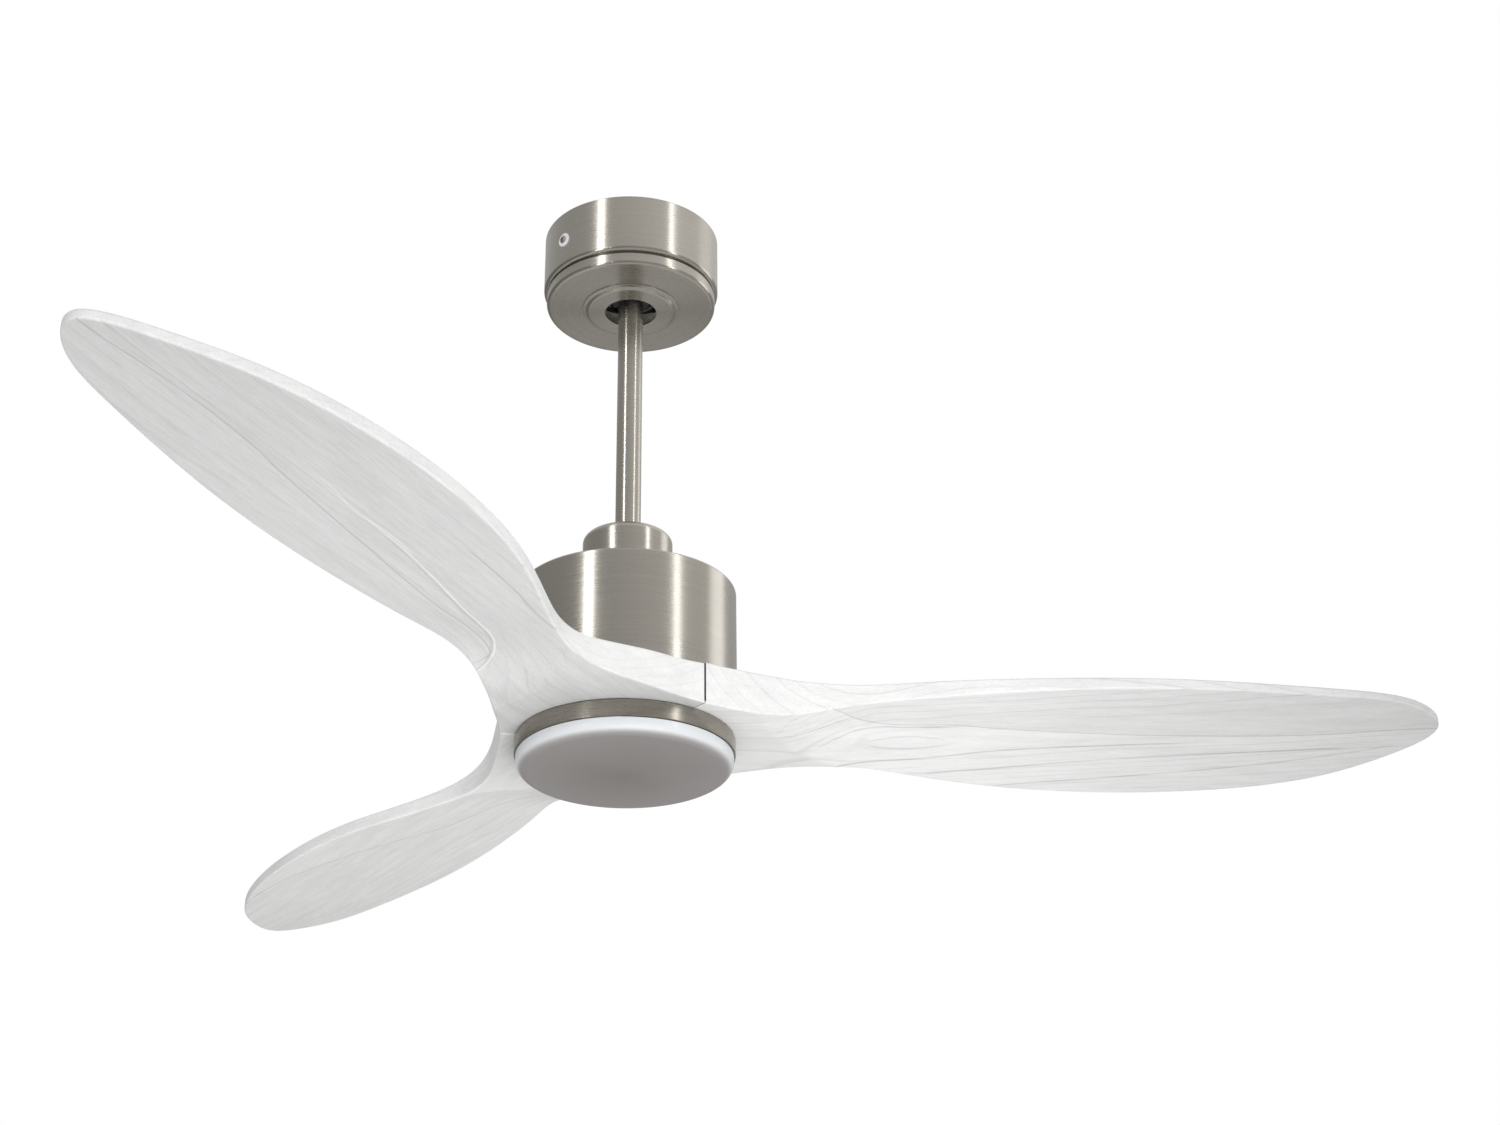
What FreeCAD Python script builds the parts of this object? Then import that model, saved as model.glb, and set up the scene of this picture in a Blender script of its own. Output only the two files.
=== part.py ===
"""Three-blade wooden ceiling fan with a flat LED light, hung on a short downrod. Millimetres.

Frame: origin at the centre of the ceiling plane, +Z up, so the whole fan lies at negative Z.
Top to bottom: hanger bracket and canopy, ball and downrod, coupler and its cover, the fixed motor
housing round an outer-rotor motor, three carved blades under the rotor, and the light below them.
The rod, housing, stator and light stand still; the rotor and the blades turn round the hollow shaft.
"""

import FreeCAD
import Part
import math
import os

V = FreeCAD.Vector
Z_AXIS = V(0, 0, 1)

# ---- driving dimensions ----------------------------------------------------------------------
blade_radius = 660.0  # tip circle, a 52 inch fan
blade_count = 3
blade_azimuth = 1.5  # degrees, first blade from +X
board_thickness = 34.0  # the blank that a blade is carved from
hub_radius = 99.3  # where the seam between two blades meets the outline
seam_shift = 6.4  # degrees by which a seam misses the bisector of two blades

canopy_radius = 75.0
sheet = 1.2  # spun steel of the canopy
canopy_lip_z = -53.3  # bottom of the canopy's wall
cover_z = -66.2  # flat bottom of the canopy
collar_z = -69.8  # raised collar round the rod
collar_hole = 22.0

rod_radius = 10.5
rod_bore = 9.1
rod_top = -20.0
rod_bottom = -320.0

ball_radius = 27.0
ball_z = -38.0  # centre of the ball, where the fan sways
liner_thickness = 1.5
seat_gap = 0.1

coupler_cover_radius = 36.8
coupler_cover_top = -288.5
housing_radius = 88.8
housing_top = -340.0
blade_top = -433.2
housing_bottom = blade_top + 1.2
blade_bottom = blade_top - board_thickness

shaft_radius = 7.5
shaft_bore = 4.5

ring_radius = 87.3
ring_top = blade_bottom - 1.0
ring_bottom = ring_top - 13.6
diffuser_radius = 86.2
diffuser_bottom = -494.2

bracket_azimuth = 40.1  # the bracket's long axis, where the canopy's screws sit
screw_z = -28.0
pin_radius = 3.0
slip = 0.1  # radial room of a pin, screw or rod in its hole


# ---- helpers ---------------------------------------------------------------------------------
def outline(points):
    """Closed wire in the XZ plane through (r, z) or (r, z, corner radius) points."""
    corners = [(V(p[0], 0, p[1]), p[2] if len(p) > 2 else 0.0) for p in points]
    runs = []
    for i, (at, radius) in enumerate(corners):
        before = (corners[i - 1][0] - at).normalize()
        after = (corners[(i + 1) % len(corners)][0] - at).normalize()
        if radius <= 0:
            runs.append((at, None, at))
            continue
        half = before.getAngle(after) / 2
        reach = radius / math.tan(half)
        middle = at + (before + after).normalize() * (radius / math.sin(half) - radius)
        runs.append((at + before * reach, middle, at + after * reach))
    edges = []
    for i, (start, middle, end) in enumerate(runs):
        if middle is not None:
            edges.append(Part.Arc(start, middle, end).toShape())
        following = runs[(i + 1) % len(runs)][0]
        if end.distanceToPoint(following) > 1e-6:
            edges.append(Part.LineSegment(end, following).toShape())
    return Part.Wire(edges)


def lathe(points, angle=360.0):
    """Solid turned about Z from a closed (r, z) outline."""
    return Part.Face(outline(points)).revolve(V(0, 0, 0), Z_AXIS, angle)


def rod(radius, z_low, z_high, x=0.0, y=0.0):
    return Part.makeCylinder(radius, z_high - z_low, V(x, y, z_low))


def ring(outer, inner, z_low, z_high):
    return rod(outer, z_low, z_high).cut(rod(inner, z_low - 1, z_high + 1))


def bar(radius, start, end):
    """Cylinder from one point to another."""
    return Part.makeCylinder(radius, (end - start).Length, start, end - start)


def box(x0, x1, y0, y1, z0, z1):
    return Part.makeBox(x1 - x0, y1 - y0, z1 - z0, V(x0, y0, z0))


def hexagon(across_flats, bore, z_low, z_high):
    corner = across_flats / math.sqrt(3)
    points = [V(corner * math.cos(math.radians(60 * i)), corner * math.sin(math.radians(60 * i)), z_low)
              for i in range(7)]
    prism = Part.Face(Part.makePolygon(points)).extrude(V(0, 0, z_high - z_low))
    return prism.cut(rod(bore, z_low - 1, z_high + 1))


def turned(shape, degrees):
    copy = shape.copy()
    copy.rotate(V(0, 0, 0), Z_AXIS, degrees)
    return copy


def around(shape, count, first=0.0):
    """Copies of a shape evenly spaced round Z."""
    return [turned(shape, first + 360.0 * i / count) for i in range(count)]


def joined(shapes):
    shape = shapes[0]
    return shape.fuse(shapes[1:]).removeSplitter() if len(shapes) > 1 else shape


def group(shapes):
    return Part.makeCompound(shapes)


def arc_block(outer, inner, z_low, z_high, width_degrees, middle_degrees):
    """Part of a ring, width_degrees wide."""
    points = [(inner, z_low), (outer, z_low), (outer, z_high), (inner, z_high)]
    return turned(lathe(points, width_degrees), middle_degrees - width_degrees / 2)


# ---- ceiling bracket and what is fixed in the canopy -----------------------------------------
plate = 2.5
ear_x = 72.0
bracket_radius = 73.0  # its corners are trimmed to clear the canopy
ceiling_hole_spacing = 96.0
ceiling_hole_radius = 3.0
cable_hole_radius = 8.0
arm_inner = 33.5
seat_inner = ball_radius + seat_gap + liner_thickness + 2 * seat_gap
seat_top = ball_z - 8.0
seat_bottom = ball_z - 18.0
rod_entry = 23.0  # width of the seat's open side, through which the rod is hooked in
key_radius = 2.0
key_z = ball_z - 13.0
key_reach = 3.0  # how far the seat's peg stands into the ball's groove
groove_half_width = 5.4  # room for the peg when the ball leans
ear_screw_radius = 2.0


def mirrored_box(x0, x1, y0, y1, z0, z1):
    """The same box on both sides of the axis."""
    return [box(x0, x1, y0, y1, z0, z1), box(-x1, -x0, y0, y1, z0, z1)]


def ceiling_bracket():
    """Flat cross on the ceiling with an ear at each end for the canopy's screws."""
    strap = box(-ear_x, ear_x, -22, 22, -plate, 0)
    wings = [box(-32, 32, 20, 58, -plate, 0), box(-18, 18, -54, -20, -plate, 0)]
    ears = mirrored_box(ear_x - plate, ear_x, -12, 12, -38, 0)
    body = joined([strap, *wings, *ears])
    body = body.common(rod(bracket_radius, -80, 1))
    body = body.cut(rod(cable_hole_radius, -plate - 1, 1, 0, 12.0))  # the house cable comes through here
    for side in (-1, 1):
        body = body.cut(rod(ceiling_hole_radius, -plate - 1, 1, side * ceiling_hole_spacing / 2))
        body = body.cut(bar(ear_screw_radius, V(side * 60, 0, screw_z), V(side * 80, 0, screw_z)))
    return turned(body, bracket_azimuth)


def ball_seat():
    """Yoke under the bracket: two arms and the cupped ring that the ball sits in, open on one side."""
    feet = mirrored_box(arm_inner, arm_inner + 9, -12, 12, -2 * plate, -plate)
    arms = mirrored_box(arm_inner, arm_inner + plate, -12, 12, seat_top - 3, -plate)
    seat = rod(arm_inner + plate, seat_top - 3, seat_top).fuse(
        Part.makeSphere(seat_inner + plate, V(0, 0, ball_z)).common(rod(40, seat_bottom, seat_top)))
    seat = seat.cut(Part.makeSphere(seat_inner, V(0, 0, ball_z)))
    seat = seat.cut(box(-rod_entry / 2, rod_entry / 2, -50, 0, seat_bottom - 1, seat_top + 1))
    return turned(joined([*feet, *arms, seat, seat_key()]), bracket_azimuth)


def seat_key():
    """Peg in the seat that stops the ball from turning about the rod."""
    towards_ball = V(0, math.sqrt(ball_radius ** 2 - (key_z - ball_z) ** 2), key_z - ball_z).normalize()
    centre = V(0, 0, ball_z)
    return bar(key_radius, centre + towards_ball * (ball_radius - key_reach),
               centre + towards_ball * (seat_inner + 1.0))


def receiver_box():
    body = box(-31, 31, 25, 55, -plate - 20, -plate)
    body = body.makeFillet(2.0, [e for e in body.Edges if abs(e.BoundBox.ZLength) > 15])
    return turned(body, bracket_azimuth)


def terminal_block():
    body = box(-16, 16, -50, -34, -plate - 13, -plate)
    for i in (-1, 0, 1):
        body = body.cut(rod(2.4, -plate - 14, -plate - 8, i * 9.5, -42))
    return turned(body, bracket_azimuth)


def terminal_screws():
    screws = [rod(2.2, -plate - 11, -plate - 8, i * 9.5, -42) for i in (-1, 0, 1)]
    return turned(group(screws), bracket_azimuth)


def bent_lead(points, bend, radius):
    """Round lead along straight runs joined by tangent arcs of one bend radius."""
    edges, at = [], points[0]
    for before, corner, after in zip(points, points[1:], points[2:]):
        to_before = (before - corner).normalize()
        to_after = (after - corner).normalize()
        half = to_before.getAngle(to_after) / 2
        reach = bend / math.tan(half)
        middle = corner + (to_before + to_after).normalize() * (bend / math.sin(half) - bend)
        edges.append(Part.LineSegment(at, corner + to_before * reach).toShape())
        at = corner + to_after * reach
        edges.append(Part.Arc(corner + to_before * reach, middle, at).toShape())
    edges.append(Part.LineSegment(at, points[-1]).toShape())
    path = Part.Wire(edges)
    start = path.Edges[0]
    heading = start.tangentAt(start.FirstParameter)
    circle = Part.Wire([Part.makeCircle(radius, points[0], heading)])
    return path.makePipeShell([circle], True, False)


def supply_leads():
    """Three leads from the terminal block round the ball to the receiver."""
    leads = []
    for i in (-1, 0, 1):
        level = -plate - 7 + 3.2 * i
        leads.append(bent_lead([V(16, -42 + 3.2 * i, level), V(50, -42 + 3.2 * i, level),
                                V(50 + 3 * i, 40 + 3.2 * i, level), V(31, 40 + 3.2 * i, level)], 7.0, 1.2))
    return turned(group(leads), bracket_azimuth)


# ---- canopy ----------------------------------------------------------------------------------
lip_radius = 70.6
cover_radius = 72.4
canopy_screw_radius = 1.9
washer_radius = 6.0


def canopy_shell():
    inside = canopy_radius - sheet
    body = lathe([(canopy_radius, 0, 0.4), (canopy_radius, canopy_lip_z, 3.2), (lip_radius, canopy_lip_z),
                  (lip_radius, canopy_lip_z + sheet), (inside, canopy_lip_z + sheet, 2.0), (inside, 0)])
    for side in (-1, 1):
        hole = bar(canopy_screw_radius + 0.3, V(side * 65, 0, screw_z), V(side * 80, 0, screw_z))
        body = body.cut(turned(hole, bracket_azimuth))
    return body


def canopy_cover():
    """Dish that snaps into the wall's lip and leaves a groove below it."""
    shoulder = canopy_lip_z - 2.0
    neck = lip_radius - 0.3
    bead_top = canopy_lip_z + sheet + 2.2
    return lathe([(neck + 0.9, bead_top, 0.5), (neck + 0.9, bead_top - 2.0, 0.5), (neck, canopy_lip_z + sheet),
                  (neck, shoulder), (cover_radius, shoulder, 0.7), (cover_radius, cover_z, 3.2),
                  (38.5, cover_z), (38.5, cover_z + sheet), (cover_radius - sheet, cover_z + sheet, 2.0),
                  (cover_radius - sheet, shoulder - sheet), (neck - sheet, shoulder - sheet),
                  (neck - sheet, bead_top)])


def canopy_collar():
    """Raised trim ring round the rod's opening."""
    return lathe([(collar_hole, collar_z, 0.4), (36.6, collar_z, 1.8), (38.6, cover_z - 1.2, 0.9),
                  (41.5, cover_z - 1.0, 0.4), (41.5, cover_z), (38.2, cover_z), (38.2, cover_z + 2.5),
                  (37.0, cover_z + 2.5), (37.0, cover_z - 0.6), (35.3, collar_z + sheet, 0.8),
                  (collar_hole, collar_z + sheet)])


def canopy_screw():
    """Pan-head screw through the canopy's wall into the bracket's ear, lying along X."""
    head_foot = canopy_radius + 1.0
    head = lathe([(0, head_foot), (3.3, head_foot), (3.3, head_foot + 1.2, 0.8), (0, head_foot + 2.2)])
    slots = [box(-0.45, 0.45, -1.9, 1.9, head_foot + 1.1, head_foot + 3),
             box(-1.9, 1.9, -0.45, 0.45, head_foot + 1.1, head_foot + 3)]
    screw = head.cut(slots[0]).cut(slots[1]).fuse(rod(canopy_screw_radius, 62, head_foot + 0.1))
    screw.rotate(V(0, 0, 0), V(0, 1, 0), 90)
    screw.translate(V(0, 0, screw_z))
    return screw


def canopy_washer():
    """Nylon washer whose inner face is hollowed to the canopy's wall."""
    disc = bar(washer_radius, V(70, 0, screw_z), V(canopy_radius + 1.0, 0, screw_z))
    disc = disc.cut(rod(canopy_radius, screw_z - 10, screw_z + 10))
    return disc.cut(bar(canopy_screw_radius + slip, V(60, 0, screw_z), V(80, 0, screw_z)))


# ---- ball joint and downrod ------------------------------------------------------------------
ball_top = ball_z + 14.0
ball_foot = ball_z - 22.0
hanger_pin_z = ball_z + 9.0
ball_screw_z = ball_z + 4.0
coupler_pin_z = -306.0
lead_radius = 2.4
lead_offset = 5.8  # the lead passes beside the cross pins


def hanger_liner():
    """Two rubber pads between ball and seat, clear of the rod's way in and of the peg."""
    inner = ball_radius + seat_gap
    zone = Part.makeSphere(inner + liner_thickness, V(0, 0, ball_z))
    zone = zone.common(rod(40, seat_bottom + 0.5, seat_top - 0.5))
    zone = zone.cut(Part.makeSphere(inner, V(0, 0, ball_z)))
    entry = box(-rod_entry / 2 - 0.5, rod_entry / 2 + 0.5, -50, 0, seat_bottom - 1, seat_top + 1)
    room = box(-groove_half_width, groove_half_width, 0, 50, seat_bottom - 1, seat_top + 1)
    return turned(zone.cut(entry).cut(room), bracket_azimuth)


def ball_groove():
    """Groove of even depth down one side of the ball."""
    skin = Part.makeSphere(ball_radius + 1, V(0, 0, ball_z))
    skin = skin.cut(Part.makeSphere(ball_radius - key_reach - 0.8, V(0, 0, ball_z)))
    slot = box(-groove_half_width, groove_half_width, 5, 50, ball_z - 40, ball_z + 40)
    return turned(skin.common(slot), bracket_azimuth)


def hanger_ball():
    ball = Part.makeSphere(ball_radius, V(0, 0, ball_z)).common(rod(40, ball_foot, ball_top))
    ball = ball.cut(ball_groove())
    ball = ball.cut(rod(rod_radius + slip, ball_foot - 1, ball_top + 1))
    ball = ball.cut(bar(pin_radius + slip, V(-40, 0, hanger_pin_z), V(40, 0, hanger_pin_z)))
    return ball.cut(bar(pin_radius + slip, V(0, 5, ball_screw_z), V(0, 40, ball_screw_z)))


def hanger_pin():
    return bar(pin_radius, V(-22, 0, hanger_pin_z), V(22, 0, hanger_pin_z))


def ball_set_screw():
    start, end = V(0, rod_radius + slip, ball_screw_z), V(0, 25, ball_screw_z)
    return bar(pin_radius, start, end).cut(bar(1.5, V(0, 21, ball_screw_z), V(0, 30, ball_screw_z)))


def downrod():
    tube = ring(rod_radius, rod_bore, rod_bottom, rod_top)
    for level in (hanger_pin_z, coupler_pin_z):
        tube = tube.cut(bar(pin_radius + slip, V(-20, 0, level), V(20, 0, level)))
    return tube


def fan_lead():
    """Lead from the connector, down the rod and the hollow shaft, to the light."""
    jog_top, jog_foot = coupler_pin_z - 4.5, coupler_pin_z - 14.5
    points = [V(0, lead_offset, rod_top + 4), V(0, lead_offset, jog_top), V(0, 0.6, jog_foot), V(0, 0.6, -477.0)]
    return bent_lead(points, 8.0, lead_radius)


def lead_connector():
    body = box(-6, 6, lead_offset - 4, lead_offset + 4, rod_top + 4, rod_top + 12)
    for i in (-1, 1):
        body = body.cut(rod(1.3, rod_top + 7, rod_top + 13, i * 3, lead_offset))
    return body


# ---- coupler between rod and shaft -----------------------------------------------------------
coupler_top = -292.0
coupler_radius = 17.0
flange_radius = 32.0
flange_screw_circle = 25.0
coupler_screw_z = -315.0
clip_x = 19.2


def rod_coupler():
    body = lathe([(0, coupler_top), (coupler_radius, coupler_top, 1.0), (coupler_radius, housing_top + 6, 2.0),
                  (flange_radius, housing_top + 6, 0.8), (flange_radius, housing_top), (0, housing_top)])
    body = body.cut(rod(rod_radius + slip, rod_bottom, coupler_top + 1))
    body = body.cut(rod(shaft_radius + slip, housing_top - 1, rod_bottom + 1))
    body = body.cut(bar(pin_radius + slip, V(-20, 0, coupler_pin_z), V(20, 0, coupler_pin_z)))
    for side in (-1, 1):
        body = body.cut(bar(2.5 + slip, V(0, side * 5, coupler_screw_z), V(0, side * 20, coupler_screw_z)))
    for hole in around(rod(2.6, housing_top - 1, housing_top + 10, flange_screw_circle), 3):
        body = body.cut(hole)
    return body


def coupler_pin():
    pin = bar(pin_radius, V(-20, 0, coupler_pin_z), V(22, 0, coupler_pin_z))
    pin = pin.fuse(bar(4.5, V(-22, 0, coupler_pin_z), V(-19.9, 0, coupler_pin_z)))
    return pin.cut(rod(1.5, coupler_pin_z - 5, coupler_pin_z + 5, clip_x, 0.35))


def coupler_clip():
    """Split ring through the pin's cross hole."""
    return Part.makeTorus(7.0, 0.7, V(clip_x, 7.0, coupler_pin_z), V(1, 0, 0))


def coupler_set_screws():
    return group([bar(2.5, V(0, side * (rod_radius + slip), coupler_screw_z), V(0, side * 16.5, coupler_screw_z))
                  for side in (-1, 1)])


def coupler_cover():
    hole = rod_radius + 0.8
    return lathe([(hole, coupler_cover_top, 0.3), (coupler_cover_radius, coupler_cover_top, 6.0),
                  (coupler_cover_radius, housing_top), (coupler_cover_radius - 1, housing_top),
                  (coupler_cover_radius - 1, coupler_cover_top - 1, 5.0), (hole, coupler_cover_top - 1)])


# ---- housing and motor -----------------------------------------------------------------------
housing_wall = 1.4
tray_z = housing_top - housing_wall
tray_thickness = 3.0
board_z = -350.0
rotor_top = -364.0
rotor_radius = 72.0
rotor_wall = 3.0
rotor_split = -392.0
rotor_flange = 79.0
rotor_bottom = blade_top + 1.0
rotor_floor = 5.0
bearing_bore, bearing_outer, bearing_width = shaft_radius, 17.5, 11.0
bearing_tops = (rotor_top - 2.0, rotor_bottom + 2.0 + bearing_width)
bearing_ball, bearing_pitch = 2.45, 12.5
stator_radius = 60.5
stator_top, stator_bottom = -382.0, -406.0
teeth = 12
tooth_width = 8.0
shaft_bottom = -480.0


def motor_housing():
    inside = housing_radius - housing_wall
    body = lathe([(shaft_radius + 0.7, housing_top), (housing_radius, housing_top, 2.0),
                  (housing_radius, housing_bottom, 0.4), (inside, housing_bottom), (inside, tray_z, 1.0),
                  (shaft_radius + 0.7, tray_z)])
    for hole in around(rod(2.6, tray_z - 1, housing_top + 1, flange_screw_circle), 3):
        body = body.cut(hole)
    return body


def housing_screws():
    foot = tray_z - tray_thickness + 0.2
    top = housing_top + 6
    screw = rod(2.5, foot, top, flange_screw_circle).fuse(rod(4.4, top, top + 3, flange_screw_circle))
    return group(around(screw, 3))


def controller_tray():
    low = tray_z - tray_thickness
    body = ring(60.0, shaft_radius + slip, low, tray_z)
    for hole in around(rod(2.5, low - 1, tray_z + 1, flange_screw_circle), 3):
        body = body.cut(hole)
    posts = around(rod(2.5, board_z, low, 46.0), 3, 30)
    return joined([body, *posts])


def shaft_lock_nut():
    low = tray_z - tray_thickness - 4.0
    return hexagon(22.0, shaft_radius, low, low + 4.0)


def controller_board():
    return ring(54.0, 16.0, board_z - 1.6, board_z)


def controller_components():
    """Capacitors, choke and power transistors under the board."""
    low = board_z - 1.6
    capacitors = [rod(5.0, low - 9.5, low, 42 * math.cos(a), 42 * math.sin(a)) for a in (0.2, 0.55, 0.9)]
    choke = turned(rod(8.0, low - 8.5, low, 38).cut(rod(3.0, low - 9, low + 1, 38)), 150)
    transistors = [turned(box(30, 45, -4.5, 4.5, low - 4.2, low), a) for a in (200, 222, 244)]
    chip = turned(box(24, 38, -7, 7, low - 1.6, low), 300)
    return group([*capacitors, choke, *transistors, chip])


def shaft():
    step = blade_top - 6.0
    upper = ring(shaft_radius, shaft_bore, step, rod_bottom - 2.0)
    lower = ring(5.0, 3.2, shaft_bottom, step)
    body = upper.fuse(lower).removeSplitter()
    for level in (-356.0, -412.0):
        body = body.cut(box(-2, 2, 0, 10, level, level + 6))
    return body


def shaft_circlips():
    """One ring outside each bearing."""
    above = bearing_tops[0]
    below = bearing_tops[1] - bearing_width
    return group([ring(10.0, shaft_radius, above, above + 1.2), ring(10.0, shaft_radius, below - 1.2, below)])


def stator_core():
    tooth = box(27, 56, -tooth_width / 2, tooth_width / 2, stator_bottom, stator_top)
    shoe = arc_block(stator_radius, 55.0, stator_bottom, stator_top, 23.0, 0)
    spokes = [piece for pair in zip(around(tooth, teeth), around(shoe, teeth)) for piece in pair]
    return joined([ring(30.0, shaft_radius, stator_bottom, stator_top), *spokes])


def stator_coils():
    """One copper coil round each tooth."""
    inner, outer = tooth_width / 2 + 0.2, tooth_width / 2 + 2.6
    top, foot = stator_top, stator_bottom
    coil = box(34, 53, -outer, outer, foot - 3.5, top + 3.5)
    coil = coil.makeFillet(2.0, [e for e in coil.Edges if abs(e.BoundBox.XLength) > 15])
    coil = coil.cut(box(33, 54, -inner, inner, foot - 0.2, top + 0.2))
    return group(around(coil, teeth))


def bearing_rings(outer, inner):
    rings = []
    for top in bearing_tops:
        rings.append(lathe([(inner, top - bearing_width, 0.3), (outer, top - bearing_width, 0.3),
                            (outer, top, 0.3), (inner, top, 0.3)]))
    return group(rings)


def bearing_balls():
    balls = []
    for top in bearing_tops:
        ball = Part.makeSphere(bearing_ball, V(bearing_pitch, 0, top - bearing_width / 2))
        balls += around(ball, 8)
    return group(balls)


def rotor_top_shell():
    seat = bearing_tops[0]
    return lathe([(11.5, rotor_top), (rotor_radius, rotor_top, 3.0), (rotor_radius, rotor_split + 3),
                  (rotor_flange, rotor_split + 3, 0.8), (rotor_flange, rotor_split),
                  (rotor_radius - rotor_wall, rotor_split), (rotor_radius - rotor_wall, rotor_top - 3, 2.0),
                  (21, rotor_top - 3), (21, seat - bearing_width - 1), (bearing_outer, seat - bearing_width - 1),
                  (bearing_outer, seat), (11.5, seat)]).cut(group(rotor_screw_holes()))


def rotor_bottom_shell():
    seat = bearing_tops[1]
    floor = rotor_bottom + rotor_floor
    body = lathe([(rotor_radius - rotor_wall, rotor_split), (rotor_flange, rotor_split),
                  (rotor_flange, rotor_split - 3, 0.8), (rotor_radius, rotor_split - 3),
                  (rotor_radius, rotor_bottom, 2.0), (11.5, rotor_bottom), (11.5, seat - bearing_width),
                  (bearing_outer, seat - bearing_width), (bearing_outer, seat + 1), (21, seat + 1),
                  (21, floor, 1.0), (rotor_radius - rotor_wall, floor, 2.0)])
    body = body.cut(group(rotor_screw_holes()))
    return body.cut(group(blade_screw_rods(2.5, rotor_bottom - 1, floor + 1)))


def rotor_screw_holes():
    return around(rod(1.6, rotor_split - 5, rotor_split + 5, 75.6), 6, 30)


def rotor_screws():
    shank = rod(1.5, rotor_split - 3, rotor_split + 3, 75.6)
    head = rod(2.8, rotor_split + 3, rotor_split + 5, 75.6)
    return group(around(shank.fuse(head), 6, 30))


def back_iron_ring():
    return ring(rotor_radius - rotor_wall, 66.0, -410.0, -378.0)


def magnets():
    poles = 14
    return group([arc_block(66.0, 61.0, -408.0, -380.0, 24.0, 360.0 * i / poles) for i in range(poles)])


# ---- blades ----------------------------------------------------------------------------------
# Outline of one blade: its radius along X and its edges' offsets along Y. The leading edge is at
# negative Y. A section's underside and top are straight lines, height + slope * Y above the blank's
# underside, and the blank's own two faces cap them, which leaves the crease where the hub ends.
leading_edge = [(89, -66), (128, -51), (175, -44), (232, -52), (305, -63), (398, -69), (487, -65),
                (572, -54.5), (632, -37)]
trailing_edge = [(632, 33.5), (572, 71), (487, 93.5), (398, 98.5), (305, 86.5), (232, 63.5), (175, 49),
                 (128, 53), (89, 68)]
tip_offset = -5.0
seam_heading = 28.5  # degrees, the outline's direction where it leaves the seam
# radius, underside height, underside slope, top height, top slope
sections = [(30, -16.0, -0.050, 36.0, -0.020), (60, -10.0, -0.050, 35.0, -0.042),
            (90, -5.0, -0.050, 33.0, -0.050), (110, -1.8, -0.055, 31.2, -0.068), (128, 0.2, -0.070, 29.3, -0.091), (150, 3.8, -0.125, 27.4, -0.145), (175, 7.9, -0.165, 25.9, -0.182),
            (232, 10.8, -0.168, 24.3, -0.187), (305, 12.9, -0.145, 24.4, -0.150), (398, 14.8, -0.138, 24.8, -0.133),
            (487, 16.4, -0.146, 25.3, -0.133), (572, 18.2, -0.166, 26.3, -0.150), (632, 20.4, -0.185, 27.7, -0.175),
            (680, 22.4, -0.200, 29.3, -0.190)]
section_half_width = 118.0
blade_bore = 24.0
blade_screw_places = [(58.0, -28.0), (58.0, 28.0), (38.0, 0.0)]  # radius and angle from a wedge's middle
blade_screw_radius = 2.5
edge_round = 1.6


def polar(radius, degrees):
    return V(radius * math.cos(math.radians(degrees)), radius * math.sin(math.radians(degrees)), 0)


def blade_outline():
    """Face of one blade seen from above, a 120 degree wedge at the hub and a rounded tip."""
    near_seam = polar(hub_radius, seam_shift - 60)
    far_seam = polar(hub_radius, seam_shift + 60)
    points = [near_seam, *[V(x, y, 0) for x, y in leading_edge], V(blade_radius, tip_offset, 0),
              *[V(x, y, 0) for x, y in trailing_edge], far_seam]
    curve = Part.BSplineCurve()
    curve.interpolate(Points=points, InitialTangent=polar(1, seam_heading),
                      FinalTangent=polar(1, seam_heading + 120))
    edges = [curve.toShape(), Part.LineSegment(far_seam, V(0, 0, 0)).toShape(),
             Part.LineSegment(V(0, 0, 0), near_seam).toShape()]
    return Part.Face(Part.Wire(edges))


def carving():
    """Everything between the carved underside and the carved top, wider than the blade."""
    wires = []
    for x, low, low_slope, high, high_slope in sections:
        w = section_half_width
        corners = [V(x, -w, low - low_slope * w), V(x, w, low + low_slope * w),
                   V(x, w, high + high_slope * w), V(x, -w, high - high_slope * w)]
        wires.append(Part.makePolygon([*corners, corners[0]]))
    return Part.makeLoft(wires, True, False)


def hub_side():
    """Half plane of the wedge inboard of the first section, left uncarved."""
    return box(-60, 31, -130, 130, 0, board_thickness)


def blade_blank():
    face = blade_outline()
    blank = face.extrude(V(0, 0, board_thickness))
    outer = blank.common(carving())
    body = outer.fuse(blank.common(hub_side())).removeSplitter()
    return body


def rounded_edges(body):
    """Rounds the long edges of the outline; a kernel refusal leaves them sharp."""
    long_edges = [e for e in body.Edges
                  if e.Length > 200 and e.BoundBox.XMax > 400]
    try:
        rounded = body.makeFillet(edge_round, long_edges)
        return rounded if rounded.isValid() and rounded.Volume > 0.9 * body.Volume else body
    except Part.OCCError:
        return body


def blade():
    body = rounded_edges(blade_blank())
    body = body.cut(rod(blade_bore, -1, board_thickness + 1))
    for radius, angle in blade_screw_places:
        at = polar(radius, seam_shift + angle)
        body = body.cut(rod(blade_screw_radius + 0.3, -1, board_thickness + 1, at.x, at.y))
    body.translate(V(0, 0, blade_bottom))
    return body


def blade_screw_rods(radius, z_low, z_high):
    rods = []
    for i in range(blade_count):
        for distance, angle in blade_screw_places:
            at = polar(distance, blade_azimuth + 120 * i + seam_shift + angle)
            rods.append(rod(radius, z_low, z_high, at.x, at.y))
    return rods


clamp_thickness = 2.0
clamp_radius = 80.0


def blade_screws():
    foot = blade_bottom - clamp_thickness
    shanks = blade_screw_rods(blade_screw_radius, foot, rotor_bottom + rotor_floor - 0.5)
    heads = blade_screw_rods(4.6, foot - 2.8, foot)
    return group([shank.fuse(head) for shank, head in zip(shanks, heads)])


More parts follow.
